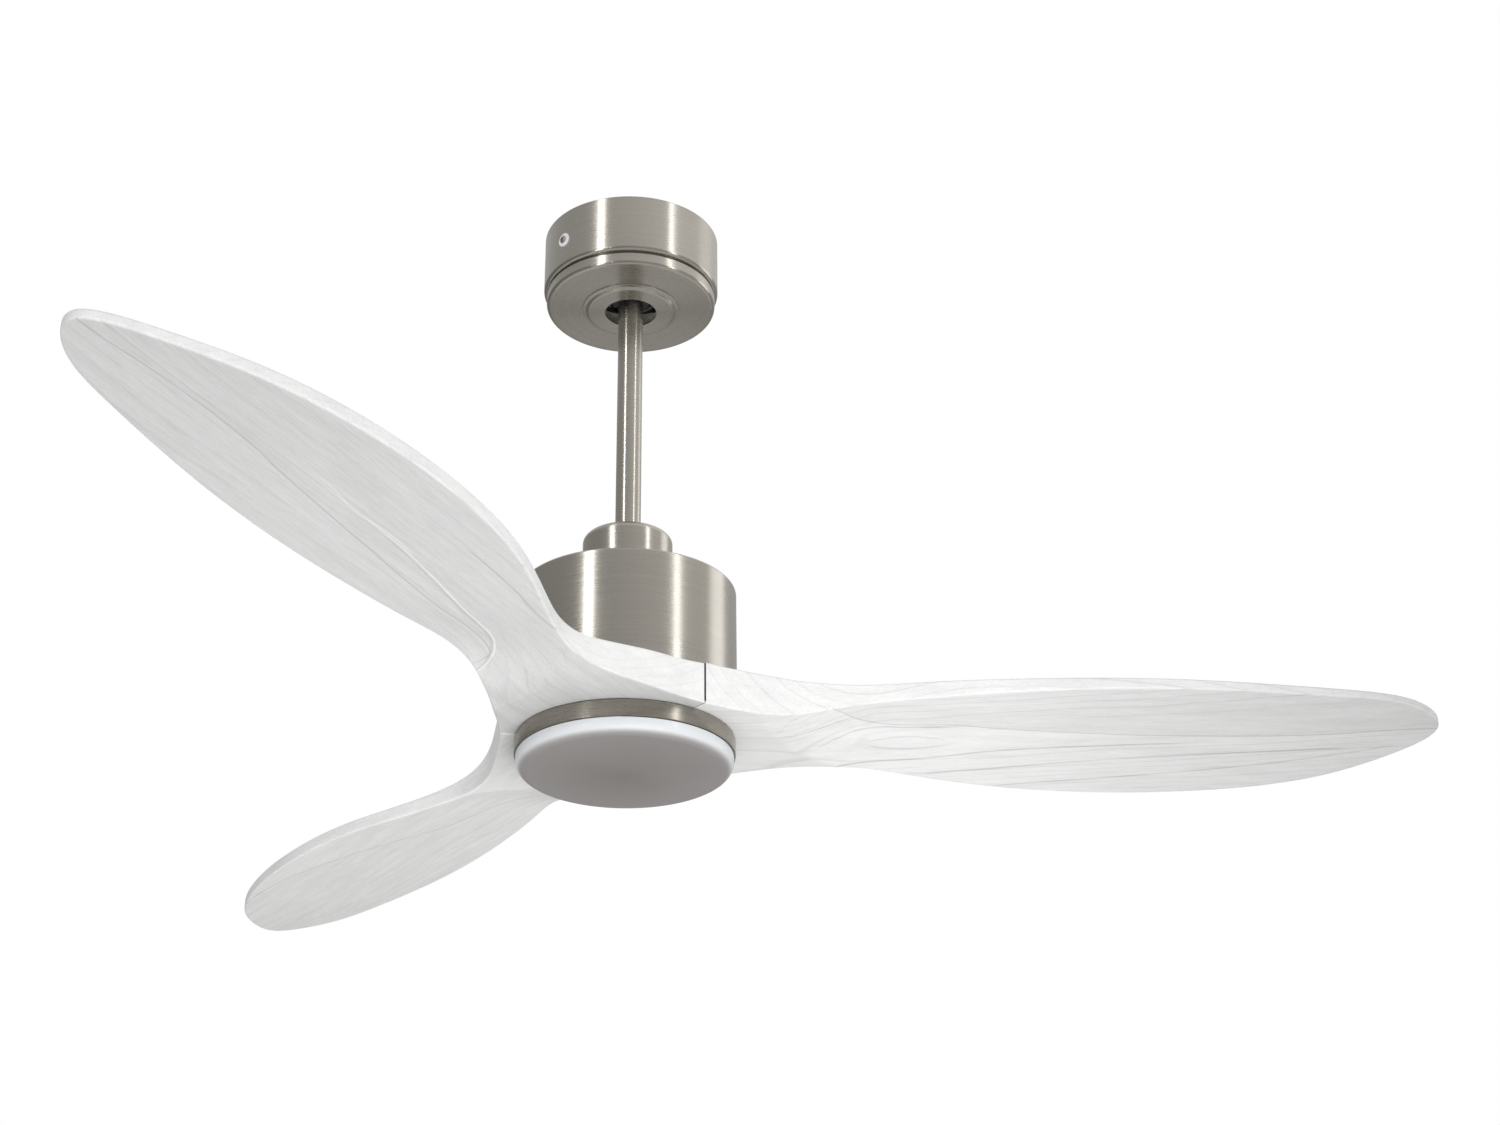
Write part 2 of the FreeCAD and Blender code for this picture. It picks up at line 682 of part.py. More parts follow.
def blade_clamp_plate():
    body = ring(clamp_radius, blade_bore, blade_bottom - clamp_thickness, blade_bottom)
    return body.cut(group(blade_screw_rods(blade_screw_radius + 0.3, blade_bottom - 5, blade_bottom + 5)))


def blade_gasket():
    body = ring(rotor_radius - 2, blade_bore, blade_top, rotor_bottom)
    return body.cut(group(blade_screw_rods(blade_screw_radius + 0.3, blade_top - 5, blade_top + 5)))


# ---- light -----------------------------------------------------------------------------------
ring_wall = 1.2
pan_z = -474.6
pan_thickness = 1.4
board_thickness_led = 1.6
lip_depth = 1.4
lip_inner = 84.6
tab_count = 3
tab_degrees = 14.0
gap_degrees = 20.0
led_rings = [(24.0, 8), (44.0, 14), (64.0, 20)]


def light_ring():
    """Steel band with a flange for the pan and a split lip that holds the diffuser's tabs."""
    inside = ring_radius - ring_wall
    body = lathe([(ring_radius, ring_top, 0.6), (ring_radius, ring_bottom, 0.6), (lip_inner, ring_bottom),
                  (lip_inner, ring_bottom + lip_depth), (inside, ring_bottom + lip_depth), (inside, pan_z),
                  (76, pan_z), (76, pan_z + 1.2), (inside, pan_z + 1.2), (inside, ring_top)])
    gap = arc_block(inside, lip_inner - 1, ring_bottom - 1, ring_bottom + lip_depth, gap_degrees, 0)
    for cut in around(gap, tab_count, 18.0):
        body = body.cut(cut)
    for hole in around(rod(1.5, pan_z - 1, pan_z + 3, 78.6), 3, 60):
        body = body.cut(hole)
    return body


def light_pan():
    body = ring(82.0, 5.2, pan_z - pan_thickness, pan_z)
    for hole in around(rod(1.7, pan_z - 3, pan_z + 1, 78.6), 3, 60):
        body = body.cut(hole)
    return body


def light_pan_screws():
    low = pan_z - pan_thickness
    screw = rod(1.5, low, pan_z + 1.2, 78.6).fuse(rod(2.5, low - 1.3, low, 78.6))
    return group(around(screw, 3, 60))


def light_pan_nuts():
    low = pan_z - pan_thickness
    return group([hexagon(16.0, 5.0, pan_z, pan_z + 4.0), hexagon(16.0, 5.0, low - 3.2, low)])


def led_board():
    top = pan_z - pan_thickness
    return ring(74.0, 12.0, top - board_thickness_led, top)


def led_chips():
    top = pan_z - pan_thickness - board_thickness_led
    chip = box(-1.5, 1.5, -1.5, 1.5, top - 0.9, top)
    chips = []
    for radius, count in led_rings:
        moved = chip.copy()
        moved.translate(V(radius, 0, 0))
        chips += around(moved, count)
    return group(chips)


def led_connector():
    top = pan_z - pan_thickness - board_thickness_led
    return box(-4, 4, 14, 20, top - 4, top)


def diffuser():
    """Opal dish with a neck and three tabs that turn behind the ring's lip."""
    neck, wall = 83.9, 1.8
    neck_top, shoulder = ring_bottom + 4.4, ring_bottom - 0.3
    body = lathe([(neck, neck_top), (neck, shoulder), (diffuser_radius, shoulder, 0.6),
                  (diffuser_radius, diffuser_bottom, 9.0), (0, diffuser_bottom - 1.4),
                  (0, diffuser_bottom - 1.4 + wall), (diffuser_radius - wall, diffuser_bottom + wall, 7.2),
                  (diffuser_radius - wall, shoulder - wall), (neck - wall, shoulder - wall), (neck - wall, neck_top)])
    low = ring_bottom + lip_depth + 0.4
    tab = arc_block(neck + 1.6, neck - 1, low, low + 1.6, tab_degrees, 0)
    return joined([body, *around(tab, tab_count)])


# ---- write one STEP file per node ------------------------------------------------------------
def both_sides(make):
    """A piece on each end of the bracket."""
    return group([turned(make(), bracket_azimuth), turned(make(), bracket_azimuth + 180)])


def nodes():
    made = {
        "ceiling_bracket": ceiling_bracket(),
        "ball_seat": ball_seat(),
        "receiver_box": receiver_box(),
        "terminal_block": terminal_block(),
        "terminal_screws": terminal_screws(),
        "supply_leads": supply_leads(),
        "canopy_shell": canopy_shell(),
        "canopy_cover": canopy_cover(),
        "canopy_collar": canopy_collar(),
        "canopy_screws": both_sides(canopy_screw),
        "canopy_washers": both_sides(canopy_washer),
        "hanger_liner": hanger_liner(),
        "hanger_ball": hanger_ball(),
        "hanger_pin": hanger_pin(),
        "ball_set_screw": ball_set_screw(),
        "downrod": downrod(),
        "fan_lead": fan_lead(),
        "lead_connector": lead_connector(),
        "rod_coupler": rod_coupler(),
        "coupler_pin": coupler_pin(),
        "coupler_clip": coupler_clip(),
        "coupler_set_screws": coupler_set_screws(),
        "coupler_cover": coupler_cover(),
        "motor_housing": motor_housing(),
        "housing_screws": housing_screws(),
        "controller_tray": controller_tray(),
        "controller_board": controller_board(),
        "controller_components": controller_components(),
        "shaft": shaft(),
        "shaft_lock_nut": shaft_lock_nut(),
        "shaft_circlips": shaft_circlips(),
        "stator_core": stator_core(),
        "stator_coils": stator_coils(),
        "bearing_inner_races": bearing_rings(10.0, bearing_bore),
        "bearing_outer_races": bearing_rings(bearing_outer, 15.0),
        "bearing_balls": bearing_balls(),
        "rotor_top_shell": rotor_top_shell(),
        "rotor_bottom_shell": rotor_bottom_shell(),
        "rotor_screws": rotor_screws(),
        "back_iron_ring": back_iron_ring(),
        "magnets": magnets(),
        "blade_gasket": blade_gasket(),
        "blade_clamp_plate": blade_clamp_plate(),
        "blade_screws": blade_screws(),
        "light_ring": light_ring(),
        "light_pan": light_pan(),
        "light_pan_screws": light_pan_screws(),
        "light_pan_nuts": light_pan_nuts(),
        "led_board": led_board(),
        "led_chips": led_chips(),
        "led_connector": led_connector(),
        "diffuser": diffuser(),
    }
    first = blade()
    for i in range(blade_count):
        made[f"blade_{i + 1}"] = turned(first, blade_azimuth + 360.0 * i / blade_count)
    return made


os.makedirs("parts", exist_ok=True)
for name, shape in nodes().items():
    solids = shape.Solids
    sound = shape.isValid() and all(s.Volume > 0 for s in solids)
    print(f"{name:24s} solids {len(solids):3d}  volume {sum(s.Volume for s in solids) / 1000:9.2f} cm3  "
          f"{'ok' if sound and solids else 'BAD'}")
    shape.exportStep(os.path.join("parts", name + ".step"))
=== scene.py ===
# %% [markdown]
# # A three-blade ceiling fan with a flat light
# The fan hangs from a round canopy on a short rod. A still motor housing sits in the middle, three carved
# wooden blades turn under it, and a flat opal light stays still below them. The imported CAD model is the
# fixed frame: it gives every size and place, and each part of it rides on a body that can sway or turn.
# This lesson dresses that frame. It rebuilds the carved blades as finished meshes and gives every
# other part a procedural finish, then lights it like a small studio.

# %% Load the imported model
import math

import bmesh
import bpy
import numpy as np
from mathutils import Matrix, Vector


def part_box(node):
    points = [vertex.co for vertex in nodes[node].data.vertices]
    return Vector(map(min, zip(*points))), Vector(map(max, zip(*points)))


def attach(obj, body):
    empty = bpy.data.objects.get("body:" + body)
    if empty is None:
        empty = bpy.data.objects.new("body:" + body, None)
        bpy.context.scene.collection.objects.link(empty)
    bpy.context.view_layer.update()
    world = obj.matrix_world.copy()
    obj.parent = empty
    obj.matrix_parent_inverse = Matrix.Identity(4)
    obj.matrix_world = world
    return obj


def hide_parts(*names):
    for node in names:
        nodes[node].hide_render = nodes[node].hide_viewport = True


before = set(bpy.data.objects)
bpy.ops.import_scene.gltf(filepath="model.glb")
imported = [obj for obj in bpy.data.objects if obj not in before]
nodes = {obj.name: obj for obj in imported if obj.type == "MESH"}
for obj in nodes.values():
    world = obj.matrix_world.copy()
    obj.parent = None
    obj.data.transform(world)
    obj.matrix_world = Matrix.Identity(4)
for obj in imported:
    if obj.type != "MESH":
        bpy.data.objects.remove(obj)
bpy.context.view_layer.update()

MM = 0.001

# %% [markdown]
# ## Wiring shader nodes by name
# A finish is a small graph of nodes. Writing each link out in full hides the idea behind the typing, so one
# helper adds a node, sets its values and joins its inputs. A second helper chains the maths nodes, because
# most patterns here are sums of noises and distances.

# %% Helpers that add a node and join it
def feed(tree, socket, value):
    """Joins another node's output to a socket, or sets a plain value on it."""
    if isinstance(value, bpy.types.NodeSocket):
        tree.links.new(value, socket)
    else:
        socket.default_value = value


def add(tree, kind, inputs=None, **settings):
    """Adds a shader node; each input is a plain value or another node's output socket."""
    node = tree.nodes.new("ShaderNode" + kind)
    for key, value in settings.items():
        setattr(node, key, value)
    for key, value in (inputs or {}).items():
        feed(tree, node.inputs[key], value)
    return node


def calc(tree, operation, *values, clamp=False):
    """One maths node, as an output socket."""
    node = add(tree, "Math", dict(enumerate(values)), operation=operation, use_clamp=clamp)
    return node.outputs[0]


def times(tree, a, b):
    return calc(tree, "MULTIPLY", a, b)


def plus(tree, a, b):
    return calc(tree, "ADD", a, b)


def flat_length(tree, a, b):
    """Length of the flat vector (a, b)."""
    return calc(tree, "SQRT", plus(tree, times(tree, a, a), times(tree, b, b)))


def weighted_sum(tree, parts, start=0.0):
    """The start plus each mask times its weight."""
    total = start
    for mask, weight in parts:
        total = plus(tree, total, times(tree, mask, weight))
    return total


def split(tree, vector):
    """The three parts of a vector."""
    return add(tree, "SeparateXYZ", {"Vector": vector}).outputs


def stretched(tree, vector, factors):
    """A vector scaled by its own factor along each axis."""
    return add(tree, "VectorMath", {0: vector, 1: factors}, operation="MULTIPLY").outputs[0]


def spread(tree, value, from_low, from_high, to_low=0.0, to_high=1.0, smooth=False):
    """Maps a range of values onto another range."""
    node = add(tree, "MapRange", {"Value": value, "From Min": from_low, "From Max": from_high,
                                  "To Min": to_low, "To Max": to_high},
               interpolation_type="SMOOTHSTEP" if smooth else "LINEAR")
    return node.outputs["Result"]


def noise(tree, vector, scale, detail=2.0, roughness=0.5):
    node = add(tree, "TexNoise", {
            "Vector": vector, "Scale": scale, "Detail": detail, "Roughness": roughness})
    return node.outputs["Fac"]


def blend_colors(tree, amount, low, high):
    return add(tree, "Mix", {0: amount, 6: low, 7: high}, data_type="RGBA").outputs[2]


def facing_down(tree, starts, ends, smooth=False):
    """Zero where the surface faces sideways, one where it faces down; limits are heights of the normal."""
    normal = add(tree, "TexCoord").outputs["Normal"]
    return spread(tree, split(tree, normal)[2], starts, ends, smooth=smooth)


def rgb(red, green, blue):
    return (red, green, blue, 1.0)


def grey(level):
    return rgb(level, level, level)


print("node helpers ready")

# %% [markdown]
# ## Shared effects as node groups
# Turned metal, fine surface grain, handling haze and softened edges appear in many finishes. Each one is
# built once as a node group with named inputs and outputs, then placed in each material with its own
# values. A group gives out only masks and heights that change over the surface, and the shader itself
# stays in the material.

# %% A blank node group
def new_group(name, inputs, outputs):
    """Makes a group that reads a vector; other inputs are plain values, or vectors where None is given."""
    tree = bpy.data.node_groups.new(name, "ShaderNodeTree")
    for label, value in {"Vector": None, **inputs}.items():
        kind = "NodeSocketVector" if value is None else "NodeSocketFloat"
        socket = tree.interface.new_socket(label, in_out="INPUT", socket_type=kind)
        if value is not None:
            socket.default_value = value
    for label in outputs:
        tree.interface.new_socket(label, in_out="OUTPUT", socket_type="NodeSocketFloat")
    return tree, tree.nodes.new("NodeGroupInput").outputs, tree.nodes.new("NodeGroupOutput").inputs


def give(tree, result, **values):
    """Joins each value to the group's output of that name."""
    for label, value in values.items():
        feed(tree, result[label], value)


def use_group(tree, group, **inputs):
    """Places a group and returns its outputs; an underscore stands for a space in an input's name."""
    named = {label.replace("_", " "): value for label, value in inputs.items()}
    return add(tree, "Group", named, node_tree=group).outputs


print("group helpers ready")

# %% [markdown]
# ### Turned brushing
# A spun canopy or a turned ring is brushed while it rotates, so its scratches run round the axis. Plain
# noise would show lumps; noise read in round coordinates gives lines. The angle is fed in as the point
# on a circle, which has no seam, and the height plus the radius moves across the lines on a wall and
# on a flat disc alike.

# %% Turned brushing group
def make_turned_brushing():
    tree, given, result = new_group(
        "turned_brushing", {"Line Size": 0.0005, "Arc Repeats": 3.0}, ["Lines", "Height"])
    xyz = split(tree, given["Vector"])
    radius = flat_length(tree, xyz[0], xyz[1])
    safe = calc(tree, "MAXIMUM", radius, 0.001)
    across = calc(tree, "DIVIDE", plus(tree, xyz[2], radius), given["Line Size"])
    round_x = times(tree, calc(tree, "DIVIDE", xyz[0], safe), given["Arc Repeats"])
    round_y = times(tree, calc(tree, "DIVIDE", xyz[1], safe), given["Arc Repeats"])
    fine = add(tree, "CombineXYZ", {0: round_x, 1: round_y, 2: across}).outputs[0]
    coarse = stretched(tree, fine, (1.0, 1.0, 0.12))
    lines = spread(tree, noise(tree, fine, 1.0, 3.0, 0.65), 0.3, 0.7)
    bands = spread(tree, noise(tree, coarse, 1.0, 2.0, 0.6), 0.3, 0.7)
    give(tree, result, Lines=lines, Height=weighted_sum(tree, [(lines, 0.7), (bands, 0.3)]))
    return tree


turned_brushing = make_turned_brushing()
print("group", turned_brushing.name)

# %% [markdown]
# ### Surface grain, haze and softened edges
# Cast, moulded and painted parts have a fine skin; all parts carry faint uneven gloss from handling. An
# edge that is rubbed shows brighter metal or thinner paint; on the brushed nickel the brighter edge is
# partly a painted highlight as well. The edge mask compares the true normal with one taken over a small
# bevel: the two differ only close to an edge.

# %% Fine grain, handling haze and rubbed edge groups
def make_fine_grain():
    tree, given, result = new_group("fine_grain", {"Grain Size": 0.0006}, ["Grain", "Mottle", "Height"])
    scale = calc(tree, "DIVIDE", 1.0, given["Grain Size"])
    small = spread(tree, noise(tree, given["Vector"], scale, 2.0, 0.6), 0.3, 0.7)
    large = spread(tree, noise(tree, given["Vector"], times(tree, scale, 0.07), 3.0), 0.3, 0.7)
    give(tree, result, Grain=small, Mottle=large, Height=weighted_sum(tree, [(small, 0.8), (large, 0.2)]))
    return tree


def make_handling_haze():
    tree, given, result = new_group("handling_haze", {"Patch Size": 0.03}, ["Haze"])
    scale = calc(tree, "DIVIDE", 1.0, given["Patch Size"])
    patches = noise(tree, given["Vector"], scale, 4.0, 0.6)
    give(tree, result, Haze=spread(tree, patches, 0.35, 0.7, smooth=True))
    return tree


def make_edge_wear_and_sheen():
    tree, given, result = new_group("edge_wear_and_sheen", {"Edge Width": 0.0006}, ["Edge"])
    soft = add(tree, "Bevel", {"Radius": given["Edge Width"]}, samples=4).outputs["Normal"]
    true = add(tree, "NewGeometry").outputs["Normal"]
    facing = add(tree, "VectorMath", {0: soft, 1: true}, operation="DOT_PRODUCT").outputs["Value"]
    edge = spread(tree, facing, 0.995, 0.93, smooth=True)
    patchy = spread(tree, noise(tree, given["Vector"], 260.0, 3.0), 0.35, 0.6, 0.25, 1.0)
    give(tree, result, Edge=times(tree, edge, patchy))
    return tree


fine_grain = make_fine_grain()
handling_haze = make_handling_haze()
edge_wear_and_sheen = make_edge_wear_and_sheen()


def grain_over(tree, vector, size):
    return use_group(tree, fine_grain, Vector=vector, Grain_Size=size)


def haze_over(tree, vector, size):
    return use_group(tree, handling_haze, Vector=vector, Patch_Size=size)["Haze"]


def edge_over(tree, vector, width):
    return use_group(tree, edge_wear_and_sheen, Vector=vector, Edge_Width=width)["Edge"]


print("groups", fine_grain.name, handling_haze.name, edge_wear_and_sheen.name)

# %% [markdown]
# ## Starting a material
# Every finish begins the same way: a Principled shader, the object's own coordinates in metres, and a bump
# node. Object coordinates are used because a node of the frame lies at the origin with its place in its
# mesh, so one metre in the pattern is one metre on the part and the pattern turns with the body.

# %% Material and object starters
def start_material(name, roughness=0.5, metallic=0.0, **sockets):
    """Returns a new material, its tree, its shader and the object's own coordinates."""
    material = bpy.data.materials.new(name)
    material.use_nodes = True
    tree = material.node_tree
    shader = tree.nodes["Principled BSDF"]
    shader.inputs["Roughness"].default_value = roughness
    shader.inputs["Metallic"].default_value = metallic
    for label, value in sockets.items():
        shader.inputs[label.replace("_", " ")].default_value = value
    here = add(tree, "TexCoord").outputs["Object"]
    return material, tree, shader, here


def finish_material(tree, shader, color, roughness=None, height=None, depth=0.0001, strength=0.3):
    """Feeds the varying sockets of the shader: colour, roughness and bump."""
    feed(tree, shader.inputs["Base Color"], color)
    if roughness is not None:
        feed(tree, shader.inputs["Roughness"], roughness)
    if height is not None:
        bump = add(tree, "Bump", {"Height": height, "Distance": depth, "Strength": strength})
        feed(tree, shader.inputs["Normal"], bump.outputs["Normal"])


def place_object(name, data):
    """Puts a mesh, a light or a camera into the scene."""
    thing = bpy.data.objects.new(name, data)
    bpy.context.scene.collection.objects.link(thing)
    return thing


print("material helpers ready")

# %% [markdown]
# ## Brushed nickel
# The canopy, rod, coupler cover, housing and light ring are steel, brushed on a lathe and plated with satin
# nickel. Two things make it read as brushed: lines that run round the part, and highlights that
# stretch across those lines. The stretch is the shader's anisotropy; its default tangent already runs
# round the vertical axis, so a quarter turn points the highlight up the wall and along the radius of
# a disc. The lines themselves change colour and gloss a little and add a shallow bump. The ring of the
# light gets a darker copy of the same nickel with its own pair of tones; that darkness is painted shade.

# %% Brushed nickel
NICKEL_DARK = (0.455, 0.43, 0.385, 1.0)
NICKEL_LIGHT = (0.52, 0.495, 0.445, 1.0)
# The rubbed tone is partly wear and partly a painted highlight on the nickel's edges.
NICKEL_WORN_EDGE_AND_SHEEN = (0.66, 0.64, 0.60, 1.0)
# Painted shade: the ring's two tones are a darker copy of the nickel's.
RING_SHADED_DARK = (0.32, 0.295, 0.255, 1.0)
RING_SHADED_LIGHT = (0.40, 0.375, 0.33, 1.0)


def brushed_nickel(name, dark, light):
    material, tree, shader, here = start_material(
        name, metallic=1.0, Anisotropic=0.8, Anisotropic_Rotation=0.25)
    fine = use_group(tree, turned_brushing, Vector=here, Line_Size=0.00040, Arc_Repeats=0.45)
    broad = use_group(tree, turned_brushing, Vector=here, Line_Size=0.0022, Arc_Repeats=0.25)
    haze = haze_over(tree, here, 0.045)
    edge = edge_over(tree, here, 0.0007)
    tone = weighted_sum(tree, [(fine["Lines"], 0.5), (broad["Lines"], 0.5)])
    color = blend_colors(tree, tone, dark, light)
    # Edge wear and, in part, a painted highlight: the nickel's edges blend toward a lighter tone.
    color = blend_colors(tree, times(tree, edge, 0.5), color, NICKEL_WORN_EDGE_AND_SHEEN)
    rough = weighted_sum(tree, [(fine["Lines"], 0.06), (haze, 0.04)], start=0.23)
    finish_material(tree, shader, color, rough, fine["Height"], 0.00002, 0.05)
    return material


nickel = brushed_nickel("satin_brushed_nickel", NICKEL_DARK, NICKEL_LIGHT)
painted_shade_ring_nickel = brushed_nickel("darker_ring_nickel", RING_SHADED_DARK, RING_SHADED_LIGHT)
print("made", nickel.name, "and", painted_shade_ring_nickel.name)

# %% [markdown]
# ## Whitewashed wood
# The blades are carved from planks glued side by side, then painted with a thin white wash that lets the
# grain show. A flat pattern wrapped on the surface would slide over the carving, so the grain here is
# solid: growth rings are cylinders round a long axis, the heart, and the carved surface cuts through
# them. Where the surface climbs quickly the rings appear as arcs, and where it runs level with them
# they close into long ovals, as on real carved board. Fibres are noise stretched along the blade.

# %% Growth ring and fibre group
SLOW_WANDER, QUICK_WAVER = (5.0, 14.0, 14.0), (40.0, 160.0, 160.0)
FIBRE_STRETCH, CLOUD_STRETCH = (0.035, 1.0, 1.0), (13.0, 110.0, 110.0)
WAVER_DEPTH = 0.0009


def make_sawn_wood():
    tree, given, result = new_group(
        "sawn_wood", {"Heart": None, "Heart Rise": 0.03, "Heart Drift": 0.0, "Ring Spacing": 0.005,
                      "Wander": 0.004, "Fibre Size": 0.0007}, ["Rings", "Season", "Fibre", "Clouds"])
    from_heart = add(tree, "VectorMath", {0: given["Vector"], 1: given["Heart"]},
                     operation="SUBTRACT").outputs[0]
    xyz = split(tree, from_heart)
    slow = noise(tree, stretched(tree, from_heart, SLOW_WANDER), 1.0)
    quick = noise(tree, stretched(tree, from_heart, QUICK_WAVER), 1.0)
    wander = times(tree, calc(tree, "SUBTRACT", slow, 0.5), given["Wander"])
    waver = times(tree, calc(tree, "SUBTRACT", quick, 0.5), WAVER_DEPTH)
    up = calc(tree, "SUBTRACT", xyz[2], times(tree, xyz[0], given["Heart Rise"]))
    aside = calc(tree, "SUBTRACT", xyz[1], times(tree, xyz[0], given["Heart Drift"]))
    radius = plus(tree, flat_length(tree, aside, up), plus(tree, times(tree, wander, 2.0), waver))
    year = calc(tree, "DIVIDE", radius, given["Ring Spacing"])
    season = calc(tree, "FRACT", year)
    late = times(tree, spread(tree, season, 0.76, 0.93, smooth=True),
                spread(tree, season, 1.0, 0.95, smooth=True))
    vigour = add(tree, "TexWhiteNoise", {"W": calc(tree, "FLOOR", year)},
                 noise_dimensions="1D").outputs["Value"]
    grain = stretched(tree, from_heart, FIBRE_STRETCH)
    fibre = noise(tree, grain, calc(tree, "DIVIDE", 1.0, given["Fibre Size"]), 3.0, 0.7)
    clouds = noise(tree, stretched(tree, from_heart, CLOUD_STRETCH), 1.0, 4.0, 0.6)
    give(tree, result, Rings=times(tree, late, spread(tree, vigour, 0, 1, 0.25, 1.0)), Season=season,
         Fibre=spread(tree, fibre, 0.32, 0.68), Clouds=spread(tree, clouds, 0.3, 0.7))
    return tree


sawn_wood = make_sawn_wood()
print("group", sawn_wood.name)

# %% [markdown]
# ### One wood per blade
# Each blade is cut from its own board, so each gets its own heart and its own tone. The pattern is read in
# the blade's own axes: the mapping node turns the coordinates back by the blade's angle. The line where
# two planks are glued is a curve drawn over the length of the blade, a hair darker than the wood, and
# the two planks differ a little in tone. The few strongest growth lines are curves drawn the same way.
# Some tone is painted shade: towards the tips, near the hub, over one whole underside, and on the faces
# where the blades meet. On the third blade a ridge of the carving is drawn as a painted highlight on its
# crest and a painted shadow at its foot.

# %% Whitewashed wood material
LINE_START, LINE_END, LINE_REACH = 0.12, 0.68, 0.10
FADE_IN, FADE_OUT = 0.018, 0.030
GLUE_HALF, DRAWN_HALF, CREST_HALF, FOOT_HALF = 0.0011, 0.0016, 0.0014, 0.0022
# The seam colour is painted shadow for the faces where the blades meet.
WASH_WHITE, WASH_GREY, SEAM_PAINTED_SHADOW = grey(0.93), grey(0.56), grey(0.09)
NEAR_SEAM, FAR_SEAM = -53.6, 66.4
# How much each pattern of the wood darkens the wash; a negative amount lightens it. The crest and foot
# amounts are a painted highlight and a painted shadow along a ridge of the carving.
FIBRE_TONE, CLOUD_TONE, SEASON_TONE, GRAIN_TONE = 0.27, 0.22, 0.03, 0.10
GLUE_TONE, SIDE_TONE, EDGE_TONE, CREST_PAINTED_HIGHLIGHT, FOOT_PAINTED_SHADOW = 0.5, 0.13, -0.12, -0.5, 0.24


def distance_from_line(tree, local, line, comes_from_edge=True):
    """Signed distance across the blade from a drawn line, in metres; the line is in millimetres."""
    node = add(tree, "FloatCurve", {"Value": spread(tree, local[0], LINE_START, LINE_END)})
    curve = node.mapping.curves[0]
    placed = [((x * MM - LINE_START) / (LINE_END - LINE_START), 0.5 + y * MM / (2 * LINE_REACH))
              for x, y in line]
    curve.points[0].location = (0.0, 0.0 if comes_from_edge else placed[0][1])
    curve.points[1].location = (1.0, placed[-1][1])
    for point in placed:
        curve.points.new(*point)
    node.mapping.update()
    height = spread(tree, node.outputs[0], 0, 1, -LINE_REACH, LINE_REACH)
    return calc(tree, "SUBTRACT", local[1], height)


def soft_stripe(tree, distance, half_width):
    """One on the line, easing to nothing at the half width."""
    away = calc(tree, "ABSOLUTE", distance)
    return spread(tree, away, half_width * 0.2, half_width, 1.0, 0.0, smooth=True)


def grain_and_highlight_line(tree, local, line, half_width):
    """A line drawn along the blade that fades in and out at its ends: mostly a growth ring's edge; the one
    lighter line is a painted highlight.
    """
    stripe = soft_stripe(tree, distance_from_line(tree, local, line, False), half_width)
    first, last = line[0][0] * MM, line[-1][0] * MM
    fades_in = spread(tree, local[0], first, first + FADE_IN, smooth=True)
    fades_out = spread(tree, local[0], last, last - FADE_OUT, smooth=True)
    return times(tree, stripe, times(tree, fades_in, fades_out))


def seam_faces(tree, local):
    """One on the two faces where a blade meets its neighbours, above the painted foot; these faces get
    painted shadow.
    """
    masks = []
    for angle in (NEAR_SEAM, FAR_SEAM):
        along, across = math.cos(math.radians(angle)), math.sin(math.radians(angle))
        off = weighted_sum(tree, [(local[0], across), (local[1], -along)])
        masks.append(spread(tree, calc(tree, "ABSOLUTE", off), 0.0010, 0.0007))
    above_foot = spread(tree, local[2], BLADE_FOOT + 0.001, BLADE_FOOT + 0.003)
    return times(tree, calc(tree, "MAXIMUM", *masks), above_foot)


